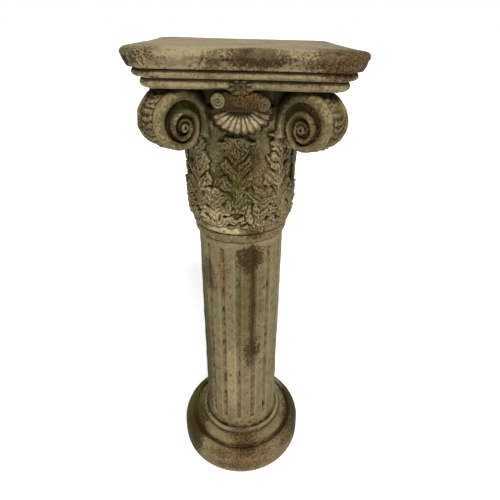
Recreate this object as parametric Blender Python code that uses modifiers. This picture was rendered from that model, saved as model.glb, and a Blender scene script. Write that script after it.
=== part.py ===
"""A cast stone plinth in the form of a short fluted column with a composite capital.

The whole plinth is one casting: a round moulded base, a shaft with round-ended grooves,
a necking of two rings, a bell with two rows of leaves, four scrolls on the diagonals and
a square slab on top. Units are metres, +Z is up, the origin is the middle of the underside
and the front face looks along -Y.
"""

import math

import bmesh
import bpy
from mathutils import Matrix, Vector

# Overall height and the slab on top
HEIGHT = 0.900
SLAB_HALF_WIDTH = 0.1645
SLAB_SIDE_HOLLOW = 0.005
SLAB_CORNER_CUT = 0.028
SLAB_SHIFT = 0.0065
ROLL_HEIGHT = 0.0265
ROLL_FOOT_INSET = 0.0075
MIDDLE_BAND_HEIGHT = 0.0122
LOWER_BAND_HEIGHT = 0.0135
TOP_EDGE_INSET = 0.0125
MIDDLE_BAND_INSET = 0.0130
LOWER_BAND_INSET = 0.0225
SLAB_FOOT_INSET = 0.0300
BAND_LINE_DEPTH = 0.0030
SLAB_SIDE_SPANS = 4

# Bends of the slab's mouldings, as shares of each moulding's height or inset
LOWER_BAND_BEND = 0.35
LOWER_BAND_CREST = 0.85
MIDDLE_BAND_BEND = 0.25
MIDDLE_BAND_CREST = 0.80
BAND_BEND_INSET = 0.35
ROLL_FOOT_LEVEL = 0.04
ROLL_BELLY_LEVEL = 0.28
ROLL_BELLY_INSET = 0.30
ROLL_CREST_LEVEL = 0.62
ROLL_SHOULDER_LEVEL = 0.90
ROLL_SHOULDER_INSET = 0.35

# Round base
BASE_RADIUS = 0.1440
BASE_FOOT_INSET = 0.0010
BASE_ROLL_HEIGHT = 0.0615
BASE_ROLL_WAIST = 0.0300
BASE_ROLL_WIDTH = 0.0170
BASE_ROLL_STEPS = 4
BASE_HOLLOW_RADIUS = 0.1170
BASE_HOLLOW_HEIGHT = 0.0410
HOLLOW_WALL_OUT = 0.6
HOLLOW_WALL_UP = 0.7
LOWER_RING_RADIUS = 0.1145
LOWER_RING_HEIGHT = 0.0325
LOWER_RING_PROUD = 0.0140
UPPER_RING_RADIUS = 0.0945
UPPER_RING_HEIGHT = 0.0110
UPPER_RING_PROUD = 0.0055

# Shaft and its grooves
SHAFT_FOOT_RADIUS = 0.0822
SHAFT_TOP_RADIUS = 0.0808
SHAFT_FLARE = 0.0035
SHAFT_FLARE_HEIGHT = 0.0180
SHAFT_TOP_HEIGHT = 0.5870
GROOVE_COUNT = 16
GROOVE_TURN = math.radians(-4.2)
GROOVE_HALF_WIDTH = 0.0052
GROOVE_DEPTH = 0.0042
GROOVE_FOOT_MARGIN = 0.0260
GROOVE_TOP_MARGIN = 0.0180

# Necking rings above the shaft
NECK_LOWER_RING_HEIGHT = 0.0175
NECK_LOWER_RING_PROUD = 0.0058
NECK_UPPER_RING_HEIGHT = 0.0155
NECK_UPPER_RING_PROUD = 0.0095

# Bell of the capital
BELL_FOOT_RADIUS = 0.0880
BELL_RADIUS = 0.0905
BELL_BELLY_RISE = 0.0300
BELL_LIP_RADIUS = 0.1120
BELL_LIP_HEIGHT = 0.0500
BELL_FLARE_HEIGHT = 0.0700
RELIEF_ROOT = 0.0040
BELL_TURN = math.radians(-3.4)

# Leaves, buds and bead drops on the bell
FACES = 4
LOWER_LEAVES = 8
LOWER_LEAF_HEIGHT = 0.0700
LOWER_LEAF_HALF_WIDTH = 0.0330
UPPER_LEAF_HEIGHT = 0.1130
UPPER_LEAF_HALF_WIDTH = 0.0300
LEAF_RIB_LIFT = 0.0048
LEAF_EDGE_LIFT = 0.0024
LEAF_CURL = 0.0085
LEAF_NOTCH = 0.64
LEAF_LOBES = 3
LEAF_FOOT_GAP = 0.0010
LEAF_FOOT_FULLNESS = 0.42
LEAF_SWELL = 1.15
LEAF_SWELL_START = 0.12
LEAF_TIP_START = 0.80
LEAF_TIP_NARROWING = 0.55
LEAF_CURL_START = 0.60
LEAF_EDGE_CURL = 0.6
LEAF_ROOT_SHARE = 0.9
LOWER_LEAF_CURL = 0.5
UPPER_LEAF_RISE = 0.7
BUD_HEIGHT = 0.0420
BUD_HALF_WIDTH = 0.0075
BUD_FOOT_SHARE = 0.35
BUD_SECTIONS = ((0.0, 0.35, 0.4), (0.35, 1.0, 1.0), (1.0, 0.12, 0.3))
DROP_TURN = math.radians(36.5)
DROP_WAIST = 0.45
DROP_TAPER = 0.3
DROP_BEADS = 3
DROP_LENGTH = 0.0300
DROP_HALF_WIDTH = 0.0046
DROP_LIFT = 0.0050
DROP_TOP_BELOW_EYE = 0.0260

# Scrolls on the diagonals
SCROLL_EYE_DISTANCE = 0.1420
SCROLL_SHIFT = 0.0040
SCROLL_EYE_HEIGHT = 0.7930
SCROLL_COIL_RADIUS = 0.0375
SCROLL_COIL_PITCH = 0.0121
SCROLL_REACH = 0.0170
SCROLL_REACH_START = 0.15
SCROLL_REACH_END = 0.46
SCROLL_THICKNESS = 0.0540
SCROLL_TURNS = 1.9
SCROLL_DRUM_TURNS = 0.80
SCROLL_EDGE_SHARE = 0.18
SCROLL_BAND_SHARE = 0.33
SCROLL_BAND_OUTER_SLOPE = 0.15
SCROLL_BAND_INNER_SLOPE = 0.75
SCROLL_CHANNEL_DEPTH = 0.0095
SCROLL_BAND_ROOT = 0.0038
SCROLL_STEPS_PER_TURN = 9
SCROLL_TAIL = 0.0620
SCROLL_EYE_RADIUS = 0.0060
SCROLL_EYE_TAPER = 0.6
SCROLL_EYE_SINK = 0.0010
SCROLL_EYE_SIDES = 6

# Middle ornament of each face: rosette, bolster and shell
ROSETTE_HALF_WIDTH = 0.0195
ROSETTE_HALF_HEIGHT = 0.0110
ROSETTE_PROUD = 0.0075
ROSETTE_SIDE = -0.0072
ROSETTE_RISE = 0.0047
ROSETTE_PETALS = 6
ROSETTE_SCALLOP = 0.09
BOLSTER_RADIUS = 0.0130
BOLSTER_HALF_LENGTH = 0.0330
BOLSTER_SINK = 0.0030
BOLSTER_SIDES = 8
BOLSTER_SCROLL_RADIUS = 0.0096
BOLSTER_SCROLL_LENGTH = 0.0300
BOLSTER_TILT = 0.0020
BOLSTER_FRONT = 0.1290
BOLSTER_BACK_STEP = 0.0020
SHELL_HALF_WIDTH = 0.0510
SHELL_DROP = 0.0370
SHELL_RIBS = 9
SHELL_THICKNESS = 0.0120
SHELL_CREST = 0.0022
SHELL_SCALLOP = 0.07
SHELL_SECTIONS = ((0.3, 0.9), (1.0, 0.55))
SHELL_BACK_SHARE = 0.9
SHELL_ROOT = 0.0400
SHELL_FRONT = 0.1190

# Smoothness of the round forms
TURN_STEPS = 32
RING_STEPS = 3
WELD = 0.00002

# Weathered stone
STONE_COLOUR = (0.24, 0.20, 0.13, 1.0)
STONE_ROUGHNESS = 0.85

# Heights that follow from the sizes above
SLAB_FOOT_Z = HEIGHT - ROLL_HEIGHT - MIDDLE_BAND_HEIGHT - LOWER_BAND_HEIGHT
LOWER_RING_Z = BASE_HOLLOW_HEIGHT
UPPER_RING_Z = LOWER_RING_Z + LOWER_RING_HEIGHT
SHAFT_FOOT_Z = UPPER_RING_Z + UPPER_RING_HEIGHT
NECK_LOWER_Z = SHAFT_TOP_HEIGHT
NECK_UPPER_Z = NECK_LOWER_Z + NECK_LOWER_RING_HEIGHT
BELL_FOOT_Z = NECK_UPPER_Z + NECK_UPPER_RING_HEIGHT
BELL_LIP_Z = SLAB_FOOT_Z - BELL_LIP_HEIGHT
BELL_FLARE_Z = BELL_LIP_Z - BELL_FLARE_HEIGHT


def clear_scene():
    for obj in list(bpy.data.objects):
        bpy.data.objects.remove(obj, do_unlink=True)


def make_collection(name, hidden=False):
    collection = bpy.data.collections.new(name)
    bpy.context.scene.collection.children.link(collection)
    collection.hide_render = hidden
    return collection


def stone_material():
    material = bpy.data.materials.new("weathered_stone")
    material.use_nodes = True
    shader = material.node_tree.nodes["Principled BSDF"]
    shader.inputs["Base Color"].default_value = STONE_COLOUR
    shader.inputs["Roughness"].default_value = STONE_ROUGHNESS
    shader.inputs["Metallic"].default_value = 0.0
    return material


def add_object(name, mesh, collection, matrix=None):
    obj = bpy.data.objects.new(name, mesh)
    collection.objects.link(obj)
    if matrix is not None:
        obj.matrix_world = matrix
    return obj


def mesh_from_bmesh(name, shape):
    bmesh.ops.recalc_face_normals(shape, faces=shape.faces)
    if shape.calc_volume(signed=True) < 0:
        bmesh.ops.reverse_faces(shape, faces=shape.faces)
    mesh = bpy.data.meshes.new(name)
    shape.to_mesh(mesh)
    shape.free()
    return mesh


def loft_mesh(name, rings):
    """A closed skin through rings of points, each ring with the same number of points."""
    shape = bmesh.new()
    rows = [[shape.verts.new(point) for point in ring] for ring in rings]
    count = len(rows[0])
    for near, far in zip(rows, rows[1:]):
        for i in range(count):
            j = (i + 1) % count
            shape.faces.new((near[i], near[j], far[j], far[i]))
    shape.faces.new(rows[0])
    shape.faces.new(rows[-1])
    return mesh_from_bmesh(name, shape)


def face_turn(index, offset=0.0):
    """Turn about the column's axis to one of the four faces."""
    return Matrix.Rotation(offset + index * math.tau / FACES, 4, "Z")


def half_round(radius, proud, foot, height, steps=RING_STEPS):
    """Profile points of a round ring, from its top edge down to its lower edge."""
    points = []
    for i in range(steps + 1):
        angle = math.pi * (0.5 - i / steps)
        out = radius - proud + proud * math.cos(angle)
        points.append((out, foot + height * 0.5 * (1.0 + math.sin(angle))))
    return points


def bell_radius(z):
    """Radius of the bare bell at a height."""
    if z < BELL_FOOT_Z + BELL_BELLY_RISE:
        share = max(0.0, (z - BELL_FOOT_Z) / BELL_BELLY_RISE)
        return BELL_FOOT_RADIUS + (BELL_RADIUS - BELL_FOOT_RADIUS) * math.sin(share * math.pi / 2)
    if z < BELL_FLARE_Z:
        return BELL_RADIUS
    share = min(1.0, (z - BELL_FLARE_Z) / BELL_FLARE_HEIGHT)
    return BELL_RADIUS + (BELL_LIP_RADIUS - BELL_RADIUS) * share ** 2


def column_profile():
    """Half section of the turned body, from the top of the bell down to the underside."""
    slab_overlap = LOWER_BAND_HEIGHT * 0.5
    points = [(0.0, SLAB_FOOT_Z + slab_overlap), (BELL_LIP_RADIUS, SLAB_FOOT_Z + slab_overlap)]
    flare_rows = 2
    for i in range(flare_rows + 1):
        z = BELL_LIP_Z - BELL_FLARE_HEIGHT * i / flare_rows
        points.append((bell_radius(z), z))
    for share in (1.0, 0.4, 0.0):
        z = BELL_FOOT_Z + BELL_BELLY_RISE * share
        points.append((bell_radius(z), z))
    points += half_round(SHAFT_TOP_RADIUS + NECK_UPPER_RING_PROUD, NECK_UPPER_RING_PROUD * 0.6,
                         NECK_UPPER_Z, NECK_UPPER_RING_HEIGHT)
    points += half_round(SHAFT_TOP_RADIUS + NECK_LOWER_RING_PROUD, NECK_LOWER_RING_PROUD,
                         NECK_LOWER_Z, NECK_LOWER_RING_HEIGHT, steps=2)
    points.append((SHAFT_FOOT_RADIUS, SHAFT_FOOT_Z + SHAFT_FLARE_HEIGHT))
    points.append((SHAFT_FOOT_RADIUS + SHAFT_FLARE, SHAFT_FOOT_Z))
    points += half_round(UPPER_RING_RADIUS, UPPER_RING_PROUD, UPPER_RING_Z, UPPER_RING_HEIGHT)
    points += half_round(LOWER_RING_RADIUS, LOWER_RING_PROUD, LOWER_RING_Z, LOWER_RING_HEIGHT)
    points.append((BASE_HOLLOW_RADIUS, BASE_HOLLOW_HEIGHT))
    top_radius = BASE_RADIUS - BASE_ROLL_WIDTH
    points.append((BASE_HOLLOW_RADIUS + HOLLOW_WALL_OUT * (top_radius - BASE_HOLLOW_RADIUS),
                   BASE_HOLLOW_HEIGHT + HOLLOW_WALL_UP * (BASE_ROLL_HEIGHT - BASE_HOLLOW_HEIGHT)))
    for i in range(BASE_ROLL_STEPS + 1):
        angle = math.pi / 2 * (1 - i / BASE_ROLL_STEPS)
        points.append((top_radius + BASE_ROLL_WIDTH * math.cos(angle),
                       BASE_ROLL_WAIST + (BASE_ROLL_HEIGHT - BASE_ROLL_WAIST) * math.sin(angle)))
    points += [(BASE_RADIUS - BASE_FOOT_INSET, 0.0), (0.0, 0.0)]
    return points


def turned_body(collection):
    shape = bmesh.new()
    verts = [shape.verts.new((radius, 0.0, z)) for radius, z in column_profile()]
    for upper, lower in zip(verts, verts[1:]):
        shape.edges.new((upper, lower))
    mesh = bpy.data.meshes.new("column_plinth")
    shape.to_mesh(mesh)
    shape.free()
    body = add_object("column_plinth", mesh, collection)
    screw = body.modifiers.new("turn", "SCREW")
    screw.steps = TURN_STEPS
    screw.render_steps = TURN_STEPS
    screw.use_merge_vertices = True
    screw.merge_threshold = 0.0001
    screw.use_smooth_shade = True
    return body


def shaft_radius(z):
    share = (z - SHAFT_FOOT_Z) / (SHAFT_TOP_HEIGHT - SHAFT_FOOT_Z)
    return SHAFT_FOOT_RADIUS + (SHAFT_TOP_RADIUS - SHAFT_FOOT_RADIUS) * share


def groove_cutters(collection):
    """Round-ended bars that stand around the shaft, one for each groove."""
    bar_radius = (GROOVE_HALF_WIDTH ** 2 + GROOVE_DEPTH ** 2) / (2 * GROOVE_DEPTH)
    foot_z = SHAFT_FOOT_Z + GROOVE_FOOT_MARGIN + bar_radius
    top_z = SHAFT_TOP_HEIGHT - GROOVE_TOP_MARGIN - bar_radius
    shape = bmesh.new()
    bmesh.ops.create_uvsphere(shape, u_segments=8, v_segments=4, radius=bar_radius)
    for vert in shape.verts:
        above = vert.co.z > bar_radius * 0.01
        if not above and vert.co.z > -bar_radius * 0.01:
            vert.co.z = 0.0
        end_z = top_z if above else foot_z
        vert.co.x += shaft_radius(end_z) + bar_radius - GROOVE_DEPTH
        vert.co.z += end_z
    mesh = mesh_from_bmesh("groove_cutter", shape)
    cutters = []
    for i in range(GROOVE_COUNT):
        turn = GROOVE_TURN - math.pi / 2 + i * math.tau / GROOVE_COUNT
        cutters.append(add_object(f"groove_cutter_{i:02d}", mesh, collection,
                                  Matrix.Rotation(turn, 4, "Z")))
    return cutters


def slab_outline(inset, z):
    """Plan of the slab at one level: four slightly hollow sides with cut corners."""
    half = SLAB_HALF_WIDTH - inset
    corner = SLAB_CORNER_CUT - inset * (2 - math.sqrt(2))
    run = half - corner
    ring = []
    for face in range(FACES):
        turn = face_turn(face)
        for i in range(SLAB_SIDE_SPANS + 1):
            along = -1 + 2 * i / SLAB_SIDE_SPANS
            hollow = SLAB_SIDE_HOLLOW * (1 - along * along)
            ring.append(turn @ Vector((run * along, -half + hollow, z)))
    return ring


def rosette_mesh():
    """An oval flower with petals around a domed heart, on the slab's lower bands."""
    shape = bmesh.new()
    bmesh.ops.create_uvsphere(shape, u_segments=ROSETTE_PETALS * 2, v_segments=4, radius=1.0)
    front = SLAB_HALF_WIDTH - LOWER_BAND_INSET - SLAB_SIDE_HOLLOW
    for vert in shape.verts:
        angle = math.atan2(vert.co.y, vert.co.x)
        lobe = 1.0 + ROSETTE_SCALLOP * math.cos(ROSETTE_PETALS * angle)
        x = ROSETTE_SIDE + vert.co.x * lobe * ROSETTE_HALF_WIDTH
        z = vert.co.y * lobe * ROSETTE_HALF_HEIGHT
        y = -front - vert.co.z * ROSETTE_PROUD
        vert.co = (x, y, z + SLAB_FOOT_Z + ROSETTE_RISE)
    return mesh_from_bmesh("rosette", shape)


def slab(collection):
    """The square slab: a thick roll over two stepped quarter-round bands, and a rosette a side."""
    band_top = SLAB_FOOT_Z + LOWER_BAND_HEIGHT
    roll_foot = band_top + MIDDLE_BAND_HEIGHT
    levels = [
        (SLAB_FOOT_INSET, SLAB_FOOT_Z),
        (LOWER_BAND_INSET + BAND_BEND_INSET * (SLAB_FOOT_INSET - LOWER_BAND_INSET),
         SLAB_FOOT_Z + LOWER_BAND_BEND * LOWER_BAND_HEIGHT),
        (LOWER_BAND_INSET, SLAB_FOOT_Z + LOWER_BAND_CREST * LOWER_BAND_HEIGHT),
        (LOWER_BAND_INSET + BAND_LINE_DEPTH, band_top),
        (MIDDLE_BAND_INSET + BAND_BEND_INSET * (LOWER_BAND_INSET - MIDDLE_BAND_INSET),
         band_top + MIDDLE_BAND_BEND * MIDDLE_BAND_HEIGHT),
        (MIDDLE_BAND_INSET, band_top + MIDDLE_BAND_CREST * MIDDLE_BAND_HEIGHT),
        (MIDDLE_BAND_INSET + BAND_LINE_DEPTH, roll_foot),
        (ROLL_FOOT_INSET, roll_foot + ROLL_FOOT_LEVEL * ROLL_HEIGHT),
        (ROLL_BELLY_INSET * ROLL_FOOT_INSET, roll_foot + ROLL_BELLY_LEVEL * ROLL_HEIGHT),
        (0.0, roll_foot + ROLL_CREST_LEVEL * ROLL_HEIGHT),
        (ROLL_SHOULDER_INSET * TOP_EDGE_INSET, roll_foot + ROLL_SHOULDER_LEVEL * ROLL_HEIGHT),
        (TOP_EDGE_INSET, HEIGHT),
    ]
    mesh = loft_mesh("slab", [slab_outline(inset, z) for inset, z in levels])
    rosette = rosette_mesh()
    shift = Matrix.Translation((SLAB_SHIFT, 0, 0))
    made = [add_object("slab", mesh, collection, shift)]
    for face in range(FACES):
        made.append(add_object(f"rosette_{face}", rosette, collection, shift @ face_turn(face)))
    return made


def scroll_radius(turn):
    """Outer radius of the scroll: an even coil whose first stretch swings out to the slab."""
    share = (turn - SCROLL_REACH_START) / (SCROLL_REACH_END - SCROLL_REACH_START)
    share = min(1.0, max(0.0, share))
    ease = share * share * (3 - 2 * share)
    return SCROLL_COIL_RADIUS - SCROLL_COIL_PITCH * turn + SCROLL_REACH * (1 - ease)


def scroll_point(radius, turn):
    """A point in the scroll's own plane: outward along the diagonal, and height."""
    angle = math.pi / 2 - turn * math.tau
    return (SCROLL_EYE_DISTANCE + radius * math.cos(angle),
            SCROLL_EYE_HEIGHT + radius * math.sin(angle))


def scroll_turns():
    """Even stations along the spiral, counted in turns from its top."""
    steps = int(SCROLL_TURNS * SCROLL_STEPS_PER_TURN)
    return [SCROLL_TURNS * i / steps for i in range(steps + 1)]


def scroll_drum(collection):
    """The flat body between the two spiral faces, cut from the scroll's outer outline."""
    curve = bpy.data.curves.new("scroll_drum", "CURVE")
    curve.dimensions = "2D"
    curve.fill_mode = "BOTH"
    curve.extrude = SCROLL_THICKNESS / 2 - SCROLL_CHANNEL_DEPTH
    outline = []
    for turn in scroll_turns():
        if turn < SCROLL_DRUM_TURNS:
            radius = scroll_radius(turn) * (1.0 - SCROLL_BAND_SHARE * SCROLL_EDGE_SHARE)
            outline.append(scroll_point(radius, turn))
    inner = SCROLL_EYE_DISTANCE - SCROLL_TAIL
    outline.append((inner, outline[-1][1] + SCROLL_BAND_SHARE * SCROLL_COIL_RADIUS))
    outline.append((inner, outline[0][1]))
    spline = curve.splines.new("POLY")
    spline.points.add(len(outline) - 1)
    for point, (out, up) in zip(spline.points, outline):
        point.co = (out, up, 0.0, 1.0)
    spline.use_cyclic_u = True
    guide = add_object("scroll_drum_curve", curve, collection)
    bpy.context.view_layer.update()
    evaluated = guide.evaluated_get(bpy.context.evaluated_depsgraph_get())
    mesh = bpy.data.meshes.new_from_object(evaluated)
    bpy.data.objects.remove(guide)
    shape = bmesh.new()
    shape.from_mesh(mesh)
    bmesh.ops.remove_doubles(shape, verts=shape.verts, dist=WELD)
    bpy.data.meshes.remove(mesh)
    return mesh_from_bmesh("scroll_drum", shape)


def scroll_band(side):
    """The raised band of one spiral face, narrowing towards the eye."""
    face = SCROLL_THICKNESS / 2
    floor = face - SCROLL_CHANNEL_DEPTH
    root = floor - SCROLL_BAND_ROOT
    stations = [(-SCROLL_TAIL, 0.0)] + [(0.0, turn) for turn in scroll_turns()]
    rings = []
    for shift, turn in stations:
        outer = scroll_radius(turn)
        width = outer * SCROLL_BAND_SHARE
        section = ((0.0, root), (width * SCROLL_BAND_OUTER_SLOPE, face),
                   (width * SCROLL_BAND_INNER_SLOPE, face), (width, root))
        ring = []
        for step_in, depth in section:
            out, up = scroll_point(outer - step_in, turn)
            ring.append(Vector((out + shift, side * depth, up)))
        rings.append(ring)
    return loft_mesh("scroll_band", rings)


def scroll_eye():
    shape = bmesh.new()
    bmesh.ops.create_cone(shape, cap_ends=True, segments=SCROLL_EYE_SIDES,
                          radius1=SCROLL_EYE_RADIUS, depth=SCROLL_THICKNESS / 2,
                          radius2=SCROLL_EYE_RADIUS * SCROLL_EYE_TAPER)
    turn = Matrix.Rotation(-math.pi / 2, 4, "X")
    place = Matrix.Translation((SCROLL_EYE_DISTANCE, SCROLL_THICKNESS / 4 - SCROLL_EYE_SINK,
                                SCROLL_EYE_HEIGHT))
    bmesh.ops.transform(shape, matrix=place @ turn, verts=shape.verts)
    return mesh_from_bmesh("scroll_eye", shape)


def scrolls(collection):
    """Four double-faced scrolls that stand on the diagonals under the slab's corners."""
    shift = Matrix.Translation((SCROLL_SHIFT, 0, 0))
    drum = scroll_drum(collection)
    stand = Matrix.Rotation(math.pi / 2, 4, "X")
    bands = {side: scroll_band(side) for side in (1, -1)}
    eye = scroll_eye()
    flip = {1: Matrix.Identity(4), -1: Matrix.Scale(-1, 4, (0, 1, 0))}
    made = []
    for corner in range(FACES):
        turn = shift @ face_turn(corner, math.pi / FACES)
        made.append(add_object(f"scroll_drum_{corner}", drum, collection, turn @ stand))
        for side, band in bands.items():
            label = "left" if side == 1 else "right"
            made.append(add_object(f"scroll_band_{corner}_{label}", band, collection, turn))
            tip = eye.copy()
            tip.transform(flip[side])
            if side == -1:
                tip.flip_normals()
            made.append(add_object(f"scroll_eye_{corner}_{label}", tip, collection, turn))
    return made


def on_bell(angle, z, lift):
    """A point on the bell, at an angle from the front and at a lift off its surface."""
    radius = bell_radius(z) + lift
    return Vector((radius * math.sin(angle), -radius * math.cos(angle), z))


def leaf_mesh(name, foot, height, half_width, lobes, curl):
    """A lobed leaf in relief: a raised middle rib, hollow blades and a tip that curls out."""
    rings = []
    rows = 2 * lobes + 1
    for row in range(rows + 1):
        share = row / rows
        swell = math.sin(math.pi * min(1.0, share * LEAF_SWELL + LEAF_SWELL_START))
        fullness = LEAF_FOOT_FULLNESS + (1.0 - LEAF_FOOT_FULLNESS) * swell
        towards_tip = max(0.0, (share - LEAF_TIP_START) / (1.0 - LEAF_TIP_START))
        fullness *= 1.0 - LEAF_TIP_NARROWING * towards_tip
        notch = 1.0 if row % 2 else LEAF_NOTCH
        angle = half_width * fullness * notch / BELL_RADIUS
        z = foot + height * share
        out = curl * max(0.0, (share - LEAF_CURL_START) / (1.0 - LEAF_CURL_START)) ** 2
        edge = LEAF_EDGE_LIFT + out * LEAF_EDGE_CURL
        rib = LEAF_RIB_LIFT + out
        front = ((-1.0, edge), (0.0, rib), (1.0, edge))
        ring = [on_bell(angle * across, z, lift) for across, lift in front]
        ring.append(on_bell(angle * LEAF_ROOT_SHARE, z, -RELIEF_ROOT))
        ring.append(on_bell(-angle * LEAF_ROOT_SHARE, z, -RELIEF_ROOT))
        rings.append(ring)
    return loft_mesh(name, rings)


def bud_mesh():
    """A pointed bud between two leaves of the lower row."""
    rings = []
    foot = BELL_FOOT_Z + BUD_HEIGHT * BUD_FOOT_SHARE
    for share, width, lift in BUD_SECTIONS:
        z = foot + BUD_HEIGHT * share
        angle = BUD_HALF_WIDTH * width / BELL_RADIUS
        rings.append([on_bell(-angle, z, 0.0), on_bell(0.0, z, LEAF_RIB_LIFT * lift),
                      on_bell(angle, z, 0.0), on_bell(0.0, z, -RELIEF_ROOT)])
    return loft_mesh("bud", rings)


def drop_mesh():
    """A short hanging string of beads in relief."""
    rings = []
    rows = DROP_BEADS * 2
    top = SCROLL_EYE_HEIGHT - DROP_TOP_BELOW_EYE
    for row in range(rows + 1):
        swell = (1.0 if row % 2 else DROP_WAIST) * (1.0 - DROP_TAPER * row / rows)
        z = top - DROP_LENGTH * row / rows
        angle = DROP_HALF_WIDTH * swell / BELL_RADIUS
        rings.append([on_bell(-angle, z, 0.0), on_bell(0.0, z, DROP_LIFT * swell),
                      on_bell(angle, z, 0.0), on_bell(0.0, z, -RELIEF_ROOT)])
    return loft_mesh("drop", rings)


def leafwork(collection):
    """Two rows of leaves on the bell, with buds and drops of beads between them."""
    made = []
    lower = leaf_mesh("lower_leaf", BELL_FOOT_Z + LEAF_FOOT_GAP, LOWER_LEAF_HEIGHT,
                      LOWER_LEAF_HALF_WIDTH, LEAF_LOBES, LEAF_CURL * LOWER_LEAF_CURL)
    upper_foot = BELL_FOOT_Z + LOWER_LEAF_HEIGHT * UPPER_LEAF_RISE
    upper = leaf_mesh("upper_leaf", upper_foot, UPPER_LEAF_HEIGHT,
                      UPPER_LEAF_HALF_WIDTH, LEAF_LOBES, LEAF_CURL)
    bud = bud_mesh()
    drop = drop_mesh()
    step = math.tau / LOWER_LEAVES
    for i in range(LOWER_LEAVES):
        between = Matrix.Rotation(BELL_TURN + (i + 0.5) * step, 4, "Z")
        straight = Matrix.Rotation(BELL_TURN + i * step, 4, "Z")
        made.append(add_object(f"lower_leaf_{i}", lower, collection, between))
        made.append(add_object(f"upper_leaf_{i}", upper, collection, straight))
    for face in range(FACES):
        made.append(add_object(f"bud_{face}", bud, collection, face_turn(face, BELL_TURN)))
        for side, label in ((-1, "left"), (1, "right")):
            made.append(add_object(f"drop_{face}_{label}", drop, collection,
                                   face_turn(face, BELL_TURN + side * DROP_TURN)))
    return made


def cylinder_mesh(name, radius, depth, matrix):
    shape = bmesh.new()
    bmesh.ops.create_cone(shape, cap_ends=True, segments=BOLSTER_SIDES, radius1=radius,
                          radius2=radius, depth=depth, matrix=matrix)
    return mesh_from_bmesh(name, shape)


def shell_mesh():
    """A hanging fan of rounded ribs with a scalloped edge."""
    top_z = SLAB_FOOT_Z - 2 * BOLSTER_RADIUS
    steps = SHELL_RIBS * 2
    rings = []
    for share, lift in SHELL_SECTIONS:
        ring = []
        for i in range(steps + 1):
            angle = math.pi * i / steps
            crest = 1.0 if i % 2 else 0.0
            reach = share * (1.0 - SHELL_SCALLOP * (1.0 - crest))
            drop = SHELL_DROP * reach * math.sin(angle)
            y = -SHELL_FRONT - SHELL_THICKNESS * 0.5 * lift - SHELL_CREST * crest * share
            ring.append(Vector((-SHELL_HALF_WIDTH * reach * math.cos(angle), y, top_z - drop)))
        rings.append(ring)
    root = -SHELL_FRONT + SHELL_ROOT
    hub = [Vector((point.x, root, point.z)) for point in rings[0]]
    rim = [Vector((point.x * SHELL_BACK_SHARE, root, point.z)) for point in rings[-1]]
    return loft_mesh("shell", [hub] + rings + [rim])


def face_ornaments(collection):
    """Bolster with two small scrolls, and a shell below it, in the middle of each face."""
    bolster_z = SLAB_FOOT_Z - BOLSTER_RADIUS - BOLSTER_SINK
    lay = Matrix.Rotation(math.pi / 2, 4, "Y")
    point_out = Matrix.Rotation(math.pi / 2, 4, "X")
    bolster_place = Matrix.Translation((0, -BOLSTER_FRONT + BOLSTER_BACK_STEP, bolster_z))
    meshes = {
        "bolster": cylinder_mesh("bolster", BOLSTER_RADIUS, BOLSTER_HALF_LENGTH * 2,
                                 bolster_place @ lay),
        "shell": shell_mesh(),
    }
    for side, label in ((-1, "left"), (1, "right")):
        place = Matrix.Translation((side * BOLSTER_HALF_LENGTH, -BOLSTER_FRONT,
                                    bolster_z - side * BOLSTER_TILT))
        meshes[f"bolster_scroll_{label}"] = cylinder_mesh(
            "bolster_scroll", BOLSTER_SCROLL_RADIUS, BOLSTER_SCROLL_LENGTH, place @ point_out)
    made = []
    for face in range(FACES):
        for name, mesh in meshes.items():
            made.append(add_object(f"{name}_{face}", mesh, collection, face_turn(face)))
    return made


def boolean(body, name, operation, collection):
    modifier = body.modifiers.new(name, "BOOLEAN")
    modifier.operation = operation
    modifier.solver = "EXACT"
    modifier.operand_type = "COLLECTION"
    modifier.collection = collection


def weld(body):
    modifier = body.modifiers.new("weld", "WELD")
    modifier.merge_threshold = WELD


def hide_tools(objects):
    for obj in objects:
        obj.display_type = "WIRE"
        obj.hide_render = True


def build():
    clear_scene()
    parts = make_collection("marble_plinth")
    grooves = make_collection("groove_cutters", hidden=True)
    carvings = make_collection("carving_guides", hidden=True)
    body = turned_body(parts)
    tools = groove_cutters(grooves)
    tools += slab(carvings)
    tools += scrolls(carvings)
    tools += leafwork(carvings)
    tools += face_ornaments(carvings)
    hide_tools(tools)
    boolean(body, "grooves", "DIFFERENCE", grooves)
    boolean(body, "carvings", "UNION", carvings)
    weld(body)
    body.data.materials.append(stone_material())


build()
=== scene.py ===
"""Weathered cast stone plinth: a short fluted column with a composite capital."""

import math

import bpy
import numpy as np
from bpy.props import FloatProperty, FloatVectorProperty, IntProperty, PointerProperty
from mathutils import Matrix, Vector
from mathutils.bvhtree import BVHTree


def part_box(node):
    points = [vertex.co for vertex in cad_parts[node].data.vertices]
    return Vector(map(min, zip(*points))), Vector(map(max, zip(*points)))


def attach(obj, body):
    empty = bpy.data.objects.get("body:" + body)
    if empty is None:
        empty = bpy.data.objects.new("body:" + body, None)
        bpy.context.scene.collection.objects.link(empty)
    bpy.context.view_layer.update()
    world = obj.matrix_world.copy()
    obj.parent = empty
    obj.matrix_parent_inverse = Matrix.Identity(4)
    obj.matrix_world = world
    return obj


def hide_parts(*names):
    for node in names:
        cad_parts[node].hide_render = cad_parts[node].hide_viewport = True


bl_info = {
    "name": "Weathered column plinth",
    "version": (1, 0, 0),
    "blender": (4, 5, 0),
    "location": "View3D > Sidebar > Plinth",
    "description": "Builds a weathered stone plinth with a composite capital, and a plain stage for it",
    "category": "Add Mesh",
}

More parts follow.
